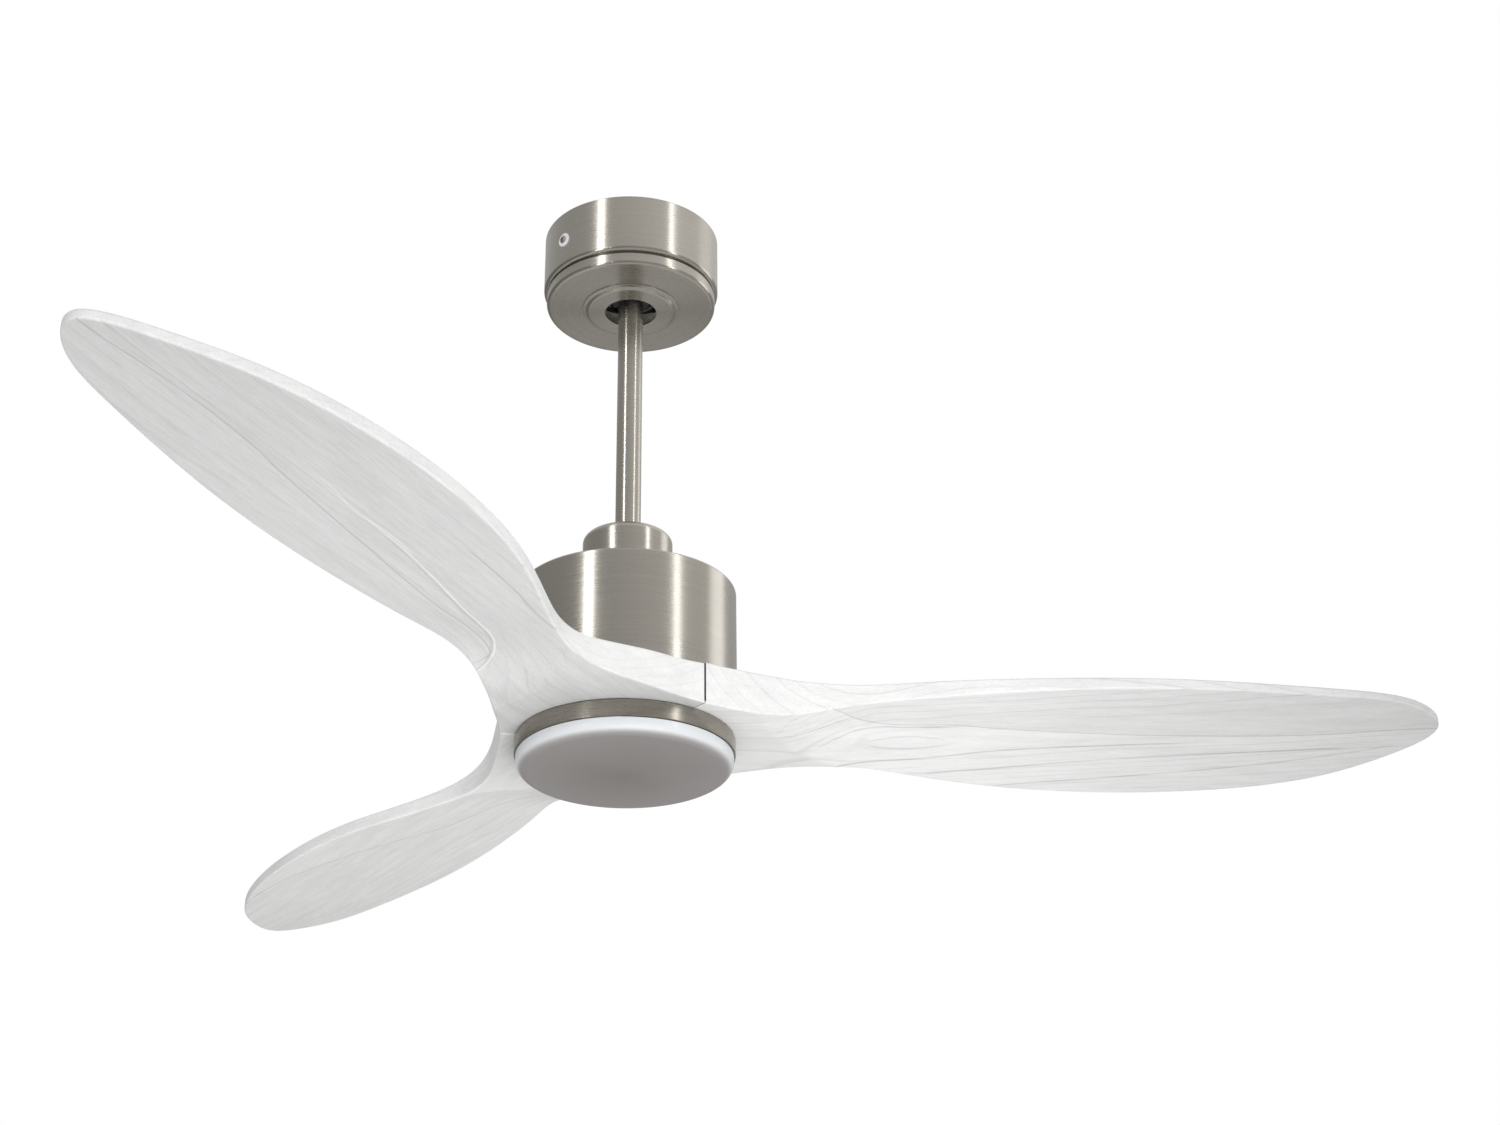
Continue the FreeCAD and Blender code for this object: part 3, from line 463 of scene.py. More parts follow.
def whitewashed_wood(name, turn, board):
    material, tree, shader, here = start_material(
        name, Coat_Weight=0.06, Coat_Roughness=0.35, Specular_IOR_Level=0.35)
    turned_back = add(tree, "Mapping", {"Vector": here, "Rotation": (0, 0, -turn)}).outputs[0]
    local = split(tree, turned_back)
    wood = use_group(tree, sawn_wood, Vector=turned_back, Heart=board["heart"], Heart_Rise=0.036,
                     Heart_Drift=board["drift"], Ring_Spacing=0.0056, Wander=0.005, Fibre_Size=0.0007)
    grain = grain_over(tree, here, 0.0016)
    haze = haze_over(tree, turned_back, 0.09)
    edge = edge_over(tree, here, 0.0016)
    underside = facing_down(tree, -0.45, -0.75)
    side = calc(tree, "SUBTRACT", 1.0, underside)
    across = distance_from_line(tree, local, board["glue_line"])
    glue = times(tree, underside, soft_stripe(tree, across, GLUE_HALF))
    plank = times(tree, underside, spread(tree, across, 0.0, -0.0008))
    # Painted shade: the underside darkens near the hub by the board's root amount.
    painted_shade_near_root = times(tree, underside, spread(tree, local[0], 0.16, 0.09, smooth=True))
    rings = times(tree, wood["Rings"], spread(tree, underside, 0, 1, 0.9, 1.0))
    # The board's shade amount is painted shade over the whole underside.
    tones = [(rings, board["rings"]), (wood["Fibre"], FIBRE_TONE), (wood["Clouds"], CLOUD_TONE),
             (wood["Season"], SEASON_TONE), (grain["Grain"], GRAIN_TONE), (plank, board["plank"]),
             (glue, GLUE_TONE), (side, SIDE_TONE), (underside, board["underside_painted_shade"]),
             (painted_shade_near_root, board["root_painted_shade"]), (edge, EDGE_TONE)]
    relief = [(wood["Fibre"], -0.45), (wood["Rings"], -0.4), (glue, -1.2)]
    ripple = times(tree, underside, spread(tree, wood["Clouds"], 0.1, 0.9, 0.45, 1.0))
    for depth, points in board["lines"]:
        tones.append((times(tree, grain_and_highlight_line(tree, local, points, DRAWN_HALF), ripple), depth))
    # Painted highlight and painted shadow: the ridge of the third board is a light crest with a dark foot,
    # with a bump along the crest.
    if "ridge" in board:
        beside = distance_from_line(tree, local, board["ridge"])
        fade = times(tree, underside, spread(tree, local[0], 0.30, 0.40, 1.0, 0.25))
        painted_ridge_highlight = times(tree, soft_stripe(tree, beside, CREST_HALF), fade)
        foot = times(tree, soft_stripe(tree, plus(tree, beside, 0.0024), FOOT_HALF), fade)
        tones += [(painted_ridge_highlight, CREST_PAINTED_HIGHLIGHT), (foot, FOOT_PAINTED_SHADOW)]
        relief.append((painted_ridge_highlight, 1.5))
    dark = calc(tree, "ADD", weighted_sum(tree, tones), 0.0, clamp=True)
    color = blend_colors(tree, dark, WASH_WHITE, WASH_GREY)
    # Painted shade: the wash darkens towards the tip by the board's tip amount.
    tip_painted_shade = spread(tree, local[0], 0.28, 0.66, 1.0, 1.0 - board["tip"])
    color = add(tree, "VectorMath", {0: color, "Scale": tip_painted_shade}, operation="SCALE").outputs[0]
    # Painted shadow: the faces where blades meet are coloured near black.
    color = blend_colors(tree, seam_faces(tree, local), color, SEAM_PAINTED_SHADOW)
    rough = weighted_sum(tree, [(wood["Fibre"], 0.12), (haze, 0.06)], start=0.50)
    finish_material(tree, shader, color, rough, weighted_sum(tree, relief, start=1.0), 0.00016, 0.5)
    return material


BLADE_TURNS = [math.radians(1.5 + 120.0 * i) for i in range(3)]
BLADE_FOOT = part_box("blade_1")[0].z
# Each board: its heart line, how strongly its features darken the wash, and its drawn lines, in
# millimetres along and across the blade, with the strength of each line in front. The tip, shade and
# root amounts are painted shade: towards the tip, over the whole underside, and near the hub. A
# negative strength lightens; the lighter line of the third board is a painted highlight by its ridge.
BOARDS = [
    {"heart": (0.235, 0.023, BLADE_FOOT + 0.079), "drift": -0.12, "rings": 0.26, "plank": 0.17,
     "tip": 0.34, "underside_painted_shade": 0.0, "root_painted_shade": 0.10,
     "glue_line": [(151, -56), (167, -38), (189, -20), (209, -14), (258, -13), (299, -7), (380, 1),
                   (465, 4), (560, 2), (628, -4)],
     "lines": [(0.75, [(151, 13), (168, 3), (191, -9), (228, -10), (274, -10)]),
               (0.65, [(117, -10), (145, -15), (171, -24), (190, -31)]),
               (0.60, [(109, -22), (127, -38), (152, -48)]),
               (0.50, [(188, 15), (196, 11), (207, 7), (228, 4), (250, 7), (270, 13)]),
               (0.50, [(188, 14), (196, 17), (210, 21), (232, 22), (252, 19), (276, 13)]),
               (0.80, [(165, 51), (178, 45), (244, 37), (299, 28), (384, 20), (470, 15)]),
               (0.70, [(240, 63), (252, 61), (309, 55), (390, 43), (512, 29), (600, 22)]),
               (0.60, [(300, 86), (314, 84), (396, 73), (517, 50), (596, 29), (640, 18)])]},
    {"heart": (0.420, 0.060, BLADE_FOOT - 0.120), "drift": 0.0, "rings": 0.14, "plank": 0.04,
     "tip": 0.0, "underside_painted_shade": 0.0, "root_painted_shade": 0.34,
     "glue_line": [(150, -20), (200, 2), (268, 13), (322, 34), (400, 62), (480, 80), (560, 78), (640, 60)],
     "lines": []},
    {"heart": (0.160, -0.055, BLADE_FOOT + 0.140), "drift": 0.0, "rings": 0.14, "plank": -0.04,
     "tip": 0.17, "underside_painted_shade": 0.30, "root_painted_shade": 0.30,
     "glue_line": [(150, -78), (158, -52), (166, -30), (178, -18), (214, -13), (254, -15), (303, -13),
                   (354, -9), (420, -4), (462, 0), (512, 6), (588, 5), (650, -3)],
     "ridge": [(148, -52), (153, -41), (165, -25), (182, -11), (200, -3), (222, 0), (245, 2), (272, 6),
               (301, 10), (336, 14), (365, 16), (480, 18), (620, 14)],
     "lines": [(0.55, [(195, 55), (212, 54), (238, 55), (269, 59), (296, 60), (350, 61)]),
               (-0.35, [(330, 17), (367, 19), (405, 16), (436, 21), (470, 22)])]}]
woods = [whitewashed_wood("whitewashed_wood_%d" % (i + 1), BLADE_TURNS[i], board)
         for i, board in enumerate(BOARDS)]
print("made", [w.name for w in woods])

# %% [markdown]
# ## Carved blades
# The three blades meet in the middle like slices of a cake and swing out into long leaves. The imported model
# has their true shape but few points, so each blade is rebuilt here as an even grid of quads that follows
# the leaf. The outline is one smooth curve through known points. The underside and the top are ruled
# across the blade: at each distance from the hub they have a height and a slope, and both are held
# inside the thickness of the board. The line where the flat of the board ends and the carving begins
# is a real ridge, so a row of the grid is laid along it.

# %% Smooth curves through known points
def spline_slopes(t, values, first, last):
    """Slopes of a smooth cubic through the values, with given end slopes."""
    count = len(t)
    step = np.diff(t)
    matrix = np.zeros((count, count))
    right = np.zeros_like(values)
    matrix[0, 0] = matrix[-1, -1] = 1.0
    right[0], right[-1] = first, last
    for i in range(1, count - 1):
        a, b = step[i - 1], step[i]
        matrix[i, i - 1:i + 2] = b, 2 * (a + b), a
        right[i] = 3 * (b * (values[i] - values[i - 1]) / a + a * (values[i + 1] - values[i]) / b)
    return np.linalg.solve(matrix, right)


def spline_at(t, values, slopes, where):
    """The smooth cubic's value at each place."""
    i = np.clip(np.searchsorted(t, where) - 1, 0, len(t) - 2)
    step = (t[i + 1] - t[i])
    s = (where - t[i]) / step
    if values.ndim == 2:
        s, step = s[:, None], step[:, None]
    return ((1 + 2 * s) * (1 - s) ** 2 * values[i] + s * (1 - s) ** 2 * step * slopes[i]
            + s * s * (3 - 2 * s) * values[i + 1] + s * s * (s - 1) * step * slopes[i + 1])


def polar(radius, degrees):
    return np.array([radius * math.cos(math.radians(degrees)), radius * math.sin(math.radians(degrees))])


print("curve helpers ready")

# %% Outline of one blade, in millimetres, pointing along X
HUB_RADIUS, BORE, BOARD = 99.3, 24.0, 34.0
LEADING_EDGE = [(89, -66), (128, -51), (175, -44), (232, -52), (305, -63), (398, -69), (487, -65),
                (572, -54.5), (632, -37)]
TIP = (660, -5)
TRAILING_EDGE = [(632, 33.5), (572, 71), (487, 93.5), (398, 98.5), (305, 86.5), (232, 63.5), (175, 49),
                 (128, 53), (89, 68)]
outline_points = np.array([polar(HUB_RADIUS, NEAR_SEAM), *LEADING_EDGE, TIP, *TRAILING_EDGE,
                           polar(HUB_RADIUS, FAR_SEAM)], float)
outline_t = np.concatenate([[0], np.cumsum(np.linalg.norm(np.diff(outline_points, axis=0), axis=1))])
outline_slopes = spline_slopes(outline_t, outline_points, polar(1, 28.5), polar(1, 148.5))


def outline_run(start, end, count):
    """Evenly spaced points of the outline between two of its known points."""
    dense_t = np.linspace(outline_t[start], outline_t[end], 1600)
    dense = spline_at(outline_t, outline_points, outline_slopes, dense_t)
    length = np.concatenate([[0], np.cumsum(np.linalg.norm(np.diff(dense, axis=0), axis=1))])
    even = np.linspace(0, length[-1], count)
    return np.stack([np.interp(even, length, dense[:, k]) for k in (0, 1)], axis=1)


print("outline length", round(float(outline_t[-1]), 1), "mm")

# %% Heights of the carved underside and top
SECTIONS = np.array([
    (30, -16, -.050, 36, -.020), (60, -10, -.050, 35, -.042), (90, -5, -.050, 33, -.050),
    (110, -1.8, -.055, 31.2, -.068), (128, .2, -.070, 29.3, -.091), (150, 3.8, -.125, 27.4, -.145),
    (175, 7.9, -.165, 25.9, -.182), (232, 10.8, -.168, 24.3, -.187), (305, 12.9, -.145, 24.4, -.150),
    (398, 14.8, -.138, 24.8, -.133), (487, 16.4, -.146, 25.3, -.133), (572, 18.2, -.166, 26.3, -.150),
    (632, 20.4, -.185, 27.7, -.175), (680, 22.4, -.200, 29.3, -.190)])
section_x = SECTIONS[:, 0]
section_values = SECTIONS[:, 1:]
section_slopes = spline_slopes(
        section_x, section_values, (section_values[1] - section_values[0]) / 30.0,
        (section_values[-1] - section_values[-2]) / 48.0)


def carved(points):
    """Uncapped heights of the underside and the top at points in the plan."""
    x = np.maximum(points[:, 0], section_x[0])
    low, low_slope, high, high_slope = spline_at(section_x, section_values, section_slopes, x).T
    return low + low_slope * points[:, 1], high + high_slope * points[:, 1]


probe_low, probe_high = carved(np.array([[300.0, 0.0]]))
print("blade is", round(float(probe_high[0] - probe_low[0]), 1), "mm thick at 300 mm")

# %% [markdown]
# ### Laying the grid
# Four boundary curves frame the blade: the bore, the two long sides with their seams, and the tip. A grid
# between them is a Coons patch, the plainest way to fill four curves with quads. Each long side is
# pulled in by the radius of the rounded edge, which is then swept round the grid as its own strip.

# %% The plan grid of one blade
SEAM_ROWS, LEAF_ROWS, COLUMNS = 20, 190, 44
EDGE_ROUND, SEAM_ROUND, SEAM_GAP = 1.6, 0.6, 0.6
seam_radii = np.linspace(BORE, HUB_RADIUS, SEAM_ROWS + 1)
near_seam_line, far_seam_line = (np.array([polar(radius, angle) for radius in seam_radii])
                                 for angle in (NEAR_SEAM, FAR_SEAM))
tip_from, tip_to = len(LEADING_EDGE), len(LEADING_EDGE) + 2
leading_side = np.vstack([near_seam_line, outline_run(0, tip_from, LEAF_ROWS + 1)[1:]])
trailing_side = np.vstack([
        far_seam_line, outline_run(tip_to, len(outline_points) - 1, LEAF_ROWS + 1)[::-1][1:]])
tip_side = outline_run(tip_from, tip_to, COLUMNS + 1)
bore_side = np.array([polar(BORE, a) for a in np.linspace(NEAR_SEAM, FAR_SEAM, COLUMNS + 1)])
rim = np.vstack([leading_side, tip_side[1:-1], trailing_side[::-1]])


def inward(points):
    """Unit directions into the blade at each point of its rim, square to the rim."""
    run = np.diff(points, axis=0)
    run /= np.linalg.norm(run, axis=1)[:, None]
    square = np.stack([-run[:, 1], run[:, 0]], axis=1)
    before, after = np.vstack([square[:1], square]), np.vstack([square, square[-1:]])
    both = before + after
    return both / (1.0 + np.sum(before * after, axis=1))[:, None]


rim_in = inward(rim)
rim_count = len(rim)
from_end = np.minimum(np.arange(rim_count), rim_count - 1 - np.arange(rim_count))
on_leaf = np.clip((from_end - SEAM_ROWS) / 8.0, 0, 1)[:, None]
rim = rim + rim_in * SEAM_GAP * (1 - on_leaf)
rim_round = SEAM_ROUND + (EDGE_ROUND - SEAM_ROUND) * on_leaf
inset = rim + rim_in * rim_round
print("rim points", rim_count)

# %% Fill the plan and lay one row on the ridge of the carving
ROWS = SEAM_ROWS + LEAF_ROWS


def coons(leading, trailing, tip, bore):
    """Grid of points between four curves: rows go outward, columns go across."""
    u = np.linspace(0, 1, len(leading))[:, None, None]
    v = np.linspace(0, 1, len(bore))[None, :, None]
    sides = (1 - v) * leading[:, None] + v * trailing[:, None]
    fade = (1 - u) ** 3
    bore_bulge, tip_bulge = (end[None] - ((1 - v[0]) * end[0] + v[0] * end[-1])[None]
                             for end in (bore, tip))
    return sides + fade * bore_bulge + u ** 12 * tip_bulge


def along_column(column, where):
    rows = np.arange(len(column))
    return np.stack([np.interp(where, rows, column[:, k]) for k in (0, 1)], axis=1)


def ridge_row(column):
    """Row number, with a fraction, at which the carved underside leaves the flat of the board."""
    low = carved(column)[0]
    rows = np.arange(SEAM_ROWS, SEAM_ROWS + 70)
    crossing = [i for i in rows if low[i] <= 0 < low[i + 1]]
    i = crossing[0]
    return i + low[i] / (low[i] - low[i + 1])


def blade_plan():
    leading = inset[:ROWS + 1]
    tip = inset[ROWS:ROWS + COLUMNS + 1]
    trailing = inset[ROWS + COLUMNS:][::-1]
    bore = bore_side.copy()
    bore[0], bore[-1] = leading[0], trailing[0]
    grid = coons(leading, trailing, tip, bore)
    ridges = np.array([ridge_row(grid[:, j]) for j in range(COLUMNS + 1)])
    middle = round(float(ridges.mean()))
    even = np.arange(ROWS + 1, dtype=float)
    for j in range(COLUMNS + 1):
        knots = [0, SEAM_ROWS, middle, middle + 60, ROWS]
        where = np.interp(even, knots, [0, SEAM_ROWS, ridges[j], middle + 60, ROWS])
        grid[:, j] = along_column(grid[:, j], where)
    return grid, middle


plan_grid, ridge = blade_plan()
print("grid", plan_grid.shape, "ridge row", ridge)

# %% [markdown]
# ### From plan to solid
# The grid is lifted twice, to the underside and to the top. Round the rim a strip goes from one to the
# other: a quarter circle, a wall, and a second quarter circle. The bore gets a plain wall. Every point is
# shared, so the blade is one closed skin.

# %% Lift the plan into a closed blade
ARC_STEPS, WALL_STEPS = 4, 5


def capped(grid):
    """Underside and top of the grid, held inside the board."""
    flat = grid.reshape(-1, 2)
    low, high = carved(flat)
    inside = flat[:, 0] < section_x[0]
    low = np.where(inside, 0.0, np.clip(low, 0, BOARD))
    high = np.where(inside, BOARD, np.clip(high, 0, BOARD))
    return low, high


def bore_wall(points, strips, row, top_start, count):
    """Faces of the round wall at the bore; its new points are added to the list."""
    every = np.vstack(points)
    base = every[row, :2]
    share = np.linspace(0, 1, len(row))[:, None]
    rows = [row]
    for strip in strips[1:-1]:
        near, far = every[strip[0]], every[strip[-1]]
        xy = base + (1 - share) * (near[:2] - base[0]) + share * (far[:2] - base[-1])
        z = (1 - share) * near[2] + share * far[2]
        points.append(np.hstack([xy, z])[1:-1])
        rows.append(np.array([strip[0], *range(count, count + len(row) - 2), strip[-1]]))
        count += len(row) - 2
    rows.append(row + top_start)
    return [(low[c], high[c], high[c + 1], low[c + 1])
            for low, high in zip(rows, rows[1:]) for c in range(len(row) - 1)]


def blade_skin():
    """Points in millimetres and faces of one blade that points along X, foot of the board at zero."""
    across = COLUMNS + 1
    low, high = capped(plan_grid)
    flat = plan_grid.reshape(-1, 2)
    points = [np.column_stack([flat, low]), np.column_stack([flat, high])]
    top_start = len(flat)
    index = np.arange(len(flat)).reshape(ROWS + 1, across)
    loop = np.concatenate([index[:, 0], index[-1, 1:-1], index[::-1, -1]])
    inner = flat[loop]
    outer = inner - inward(inner) * rim_round
    foot, head = low[loop], high[loop]
    faces = []
    for r in range(ROWS):
        for c in range(COLUMNS):
            a, b, d, e = index[r, c], index[r + 1, c], index[r + 1, c + 1], index[r, c + 1]
            faces.append((a, e, d, b))
            faces.append((a + top_start, b + top_start, d + top_start, e + top_start))
    strips = [loop]
    count = 2 * top_start
    radius = rim_round[:, 0]

    def rounded(turn, level, way):
        """One row of the rounded edge; the way is up from the underside or down from the top."""
        at = inner + (outer - inner) * math.sin(turn)
        return np.column_stack([at, level + way * radius * (1 - math.cos(turn))])

    turns = [k / ARC_STEPS * math.pi / 2 for k in range(1, ARC_STEPS + 1)]
    points += [rounded(turn, foot, 1) for turn in turns]
    for share in (k / WALL_STEPS for k in range(1, WALL_STEPS)):
        z = (foot + radius) * (1 - share) + (head - radius) * share
        points.append(np.column_stack([outer, z]))
    points += [rounded(turn, head, -1) for turn in turns[::-1]]
    for _ in range(2 * ARC_STEPS + WALL_STEPS - 1):
        strips.append(np.arange(count, count + len(loop)))
        count += len(loop)
    strips.append(loop + top_start)
    for below, above in zip(strips, strips[1:]):
        for i in range(len(loop) - 1):
            faces.append((below[i], below[i + 1], above[i + 1], above[i]))
    faces += bore_wall(points, strips, index[0], top_start, count)
    return np.vstack(points), faces


skin_points, skin_faces = blade_skin()
print("skin", len(skin_points), "points", len(skin_faces), "faces")

# %% Make the three blades
def mesh_object(name, points, faces, material):
    """A smooth-shaded mesh object with its faces all looking outward."""
    mesh = bpy.data.meshes.new(name)
    mesh.from_pydata([tuple(p) for p in points], [], [tuple(int(i) for i in f) for f in faces])
    shape = bmesh.new()
    shape.from_mesh(mesh)
    bmesh.ops.recalc_face_normals(shape, faces=shape.faces)
    open_edges = [e for e in shape.edges if not e.is_manifold]
    for edge in shape.edges:
        edge.smooth = len(edge.link_faces) == 2 and edge.calc_face_angle(0.0) < math.radians(50)
    shape.to_mesh(mesh)
    shape.free()
    for face in mesh.polygons:
        face.use_smooth = True
    mesh.materials.append(material)
    print(name, len(mesh.vertices), "points, open edges", len(open_edges))
    return place_object(name, mesh)


for number, (turn, wood) in enumerate(zip(BLADE_TURNS, woods), start=1):
    to_place = Matrix.Translation((0, 0, BLADE_FOOT)) @ Matrix.Rotation(turn, 4, "Z") @ Matrix.Scale(MM, 4)
    matrix = np.array(to_place)
    placed = skin_points @ matrix[:3, :3].T + matrix[:3, 3]
    blade = mesh_object("carved_blade_%d" % number, placed, skin_faces, wood)
    even_shading = blade.modifiers.new("even_shading", "WEIGHTED_NORMAL")
    even_shading.keep_sharp, even_shading.weight = True, 60
    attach(blade, "rotor")
    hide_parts("blade_%d" % number)
    low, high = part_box("blade_%d" % number)
    worst = max(abs(placed.min(0) - np.array(low)).max(), abs(placed.max(0) - np.array(high)).max())
    print(" largest difference from the packed blade's box", round(worst / MM, 2), "mm")

# %% [markdown]
# ## The opal diffuser
# The light's dish is milky acrylic. Its steep rim catches the room and looks white, while the wide face
# shows the unlit space behind it and looks grey. A full simulation of light inside thin milky plastic
# is slow and noisy, so that grey is painted shade, set by place: white on the rim, easing to a painted
# grey over the curve, darker still towards the middle. A low, slightly rough gloss gives the soft
# highlight along the curve.

# %% Opal acrylic
OPAL_RIM, OPAL_FACE_PAINTED_SHADE, OPAL_MIDDLE_PAINTED_SHADE = rgb(0.69, 0.71, 0.73), rgb(0.27, 0.255, 0.25), rgb(0.185, 0.172, 0.165)
OPAL_HAZE = rgb(0.33, 0.32, 0.32)


def opal_acrylic():
    material, tree, shader, here = start_material(
        "opal_acrylic", Coat_Weight=0.35, Coat_Roughness=0.12, IOR=1.49)
    xyz = split(tree, here)
    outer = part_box("diffuser")[1].x
    inner = spread(tree, flat_length(tree, xyz[0], xyz[1]), outer, 0.0)
    grain = grain_over(tree, here, 0.0012)
    haze = haze_over(tree, here, 0.07)
    # Painted shade: the face that looks down is grey, darker still towards the middle.
    below = blend_colors(tree, inner, OPAL_FACE_PAINTED_SHADE, OPAL_MIDDLE_PAINTED_SHADE)
    below = blend_colors(tree, times(tree, haze, 0.12), below, OPAL_HAZE)
    color = blend_colors(tree, facing_down(tree, -0.50, -0.97, smooth=True), OPAL_RIM, below)
    color = blend_colors(tree, times(tree, grain["Grain"], 0.05), color, grey(0.2))
    rough = spread(tree, haze, 0, 1, 0.28, 0.36)
    finish_material(tree, shader, color, rough, grain["Height"], 0.00003, 0.12)
    return material


opal = opal_acrylic()
print("made", opal.name)

# %% [markdown]
# ## Steels, castings and plastics
# The rest of the parts need honest, quieter finishes. They share one recipe: a base colour that drifts
# between two tones, fine grain in the bump, haze in the gloss and a rubbed edge. What changes is the size
# of the grain, the tones and how metallic it is, so one function makes most of them.

# %% A plain finish with grain, haze and rubbed edges
def plain_finish(name, roughness, metallic, grain_size, depth, dark, light, rubbed):
    material, tree, shader, here = start_material(name, metallic=metallic)
    grain = grain_over(tree, here, grain_size)
    haze = haze_over(tree, here, 0.02)
    edge = edge_over(tree, here, 0.0004)
    dark, light, rubbed = (rgb(*t) if isinstance(t, tuple) else grey(t) for t in (dark, light, rubbed))
    tone = weighted_sum(tree, [(grain["Grain"], 0.45), (grain["Mottle"], 0.55)])
    color = blend_colors(tree, tone, dark, light)
    color = blend_colors(tree, times(tree, edge, 0.6), color, rubbed)
    low, high = roughness
    rough = weighted_sum(tree, [(grain["Grain"], high - low), (haze, 0.08)], start=low)
    finish_material(tree, shader, color, rough, grain["Height"], depth, 0.4)
    return material


finishes = {"brushed_nickel": nickel, "whitewashed_wood": woods[0], "opal": opal}
# Slot: name, roughness range, metallic, grain size, bump depth, then the dark, light and rubbed tones;
# one number stands for a grey.
PLAIN_FINISHES = {
    "bracket_steel": ("black_coated_steel", (.40, .54), 0.0, 0.0011, 0.00003,
        (.008, .008, .009), (.018, .018, .019), .10),
    "ball_black": ("moulded_black_ball", (.36, .48), 0.0, 0.0009, 0.00004,
        (.008, .008, .009), (.020, .020, .021), .06),
    "rubber_grey": ("seat_liner_rubber", (.72, .85), 0.0, 0.0007, 0.00008,
        (.10, .10, .105), (.17, .17, .175), .25),
    "steel": ("fastener_steel", (.28, .42), 1.0, 0.0007, 0.00003,
        (.30, .30, .31), .50, (.72, .72, .70)),
    "nylon_white": ("white_nylon", (.38, .5), 0.0, 0.0008, 0.00003,
        (.72, .72, .71), (.82, .82, .81), (.9, .9, .89)),
    "cast_aluminium": ("cast_aluminium", (.42, .58), 1.0, 0.0011, 0.00012,
        (.50, .51, .52), .68, .85),
    "aluminium_sheet": ("aluminium_sheet", (.26, .38), 1.0, 0.0016, 0.00002,
        (.66, .67, .68), (.78, .78, .79), .9),
    "bearing_steel": ("ground_bearing_steel", (.12, .2), 1.0, 0.0004, 0.00001,
        (.52, .52, .53), .66, (.85, .85, .84)),
    "ferrite": ("ferrite_magnet", (.5, .66), 0.2, 0.0006, 0.00006,
        (.045, .045, .05), (.10, .10, .105), .16),
    "led_board_white": ("white_led_board", (.4, .5), 0.0, 0.0007, 0.00001,
        (.78, .79, .78), (.86, .87, .86), (.6, .55, .35)),
    "led_yellow": ("led_phosphor", (.3, .42), 0.0, 0.0004, 0.00003,
        (.72, .52, .08), (.88, .70, .16), (.9, .9, .85)),
    "component_black": ("component_black", (.42, .6), 0.0, 0.0005, 0.00004,
        (.018, .018, .02), (.05, .05, .052), .12),
    "housing_plastic": ("receiver_plastic", (.42, .55), 0.0, 0.0006, 0.00006,
        (.66, .66, .64), (.76, .76, .74), (.84, .84, .83)),
    "lead_grey": ("lead_insulation", (.42, .52), 0.0, 0.0010, 0.00003,
        (.26, .26, .27), (.36, .36, .37), .45),
    "gasket": ("foam_gasket", (.8, .92), 0.0, 0.0009, 0.0002,
        (.05, .05, .052), (.11, .11, .112), .14),
    "brass_screw": ("terminal_brass", (.24, .36), 1.0, 0.0007, 0.00002,
        (.60, .45, .20), (.78, .62, .32), (.9, .78, .5)),
}
for slot_name, values in PLAIN_FINISHES.items():
    finishes[slot_name] = plain_finish(*values)
print("made", len(finishes), "finishes")

# %% [markdown]
# ## Windings, laminations and circuit board
# Three hidden parts have a pattern of their own: copper wire lies in even turns, the motor's iron is a
# stack of thin sheets, and the controller board has tracks under a green mask. Wire and sheets are waves
# of the height, the tracks are the outlines of small cells, and all of them carry the shared grain.

# %% Copper windings and stacked iron
def layered_finish(name, pitch, gap_joint_and_shade, dark, light, roughness, metallic):
    """Even layers or wires of the given pitch, with a dark gap between them: a dark joint between stacked
    sheets, painted shade in the grooves between wires.
    """
    material, tree, shader, here = start_material(name, metallic=metallic)
    wave = add(tree, "TexWave", {"Vector": here, "Scale": 0.314 / pitch, "Distortion": 0.4, "Detail": 1.0},
               wave_type="BANDS", bands_direction="Z").outputs["Fac"]
    grain = grain_over(tree, here, 0.0007)
    color = blend_colors(tree, grain["Mottle"], dark, light)
    color = blend_colors(tree, spread(tree, wave, 0.35, 0.02, smooth=True), color, gap_joint_and_shade)
    rough = spread(tree, grain["Grain"], 0, 1, *roughness)
    finish_material(tree, shader, color, rough, wave, 0.0002, 0.8)
    return material


finishes["copper"] = layered_finish("enamelled_copper", 0.0009, rgb(.10, .03, .015), rgb(.62, .24, .10),
                                    rgb(.80, .36, .17), (.22, .34), 0.9)
finishes["laminated_steel"] = layered_finish("laminated_iron", 0.0005, rgb(.05, .05, .05),
                                             rgb(.34, .34, .35), rgb(.48, .48, .48), (.4, .55), 1.0)
print("made windings and laminations")

# %% Circuit board
def circuit_board():
    material, tree, shader, here = start_material("circuit_board", Coat_Weight=0.3, Coat_Roughness=0.2)
    cells = add(tree, "TexVoronoi", {"Vector": here, "Scale": 160.0, "Randomness": 0.35},
                distance="MANHATTAN").outputs["Distance"]
    tracks = spread(tree, calc(tree, "ABSOLUTE", calc(tree, "SUBTRACT", cells, 0.45)), 0.07, 0.04)
    grain = grain_over(tree, here, 0.0005)
    mask = blend_colors(tree, grain["Mottle"], rgb(.01, .11, .045), rgb(.015, .15, .06))
    color = blend_colors(tree, tracks, mask, rgb(.05, .30, .13))
    finish_material(tree, shader, color, spread(tree, grain["Grain"], 0, 1, .35, .45), tracks, 0.00004, 0.5)
    return material


finishes["circuit_board"] = circuit_board()
print("made circuit board;", len(finishes), "finishes in all")

# %% [markdown]
# ## Dressing the frame
# The imported nodes keep their shape. Each one's mesh names the finish it should have, so the script swaps
# the plain material in every slot for the finished one of the same name.

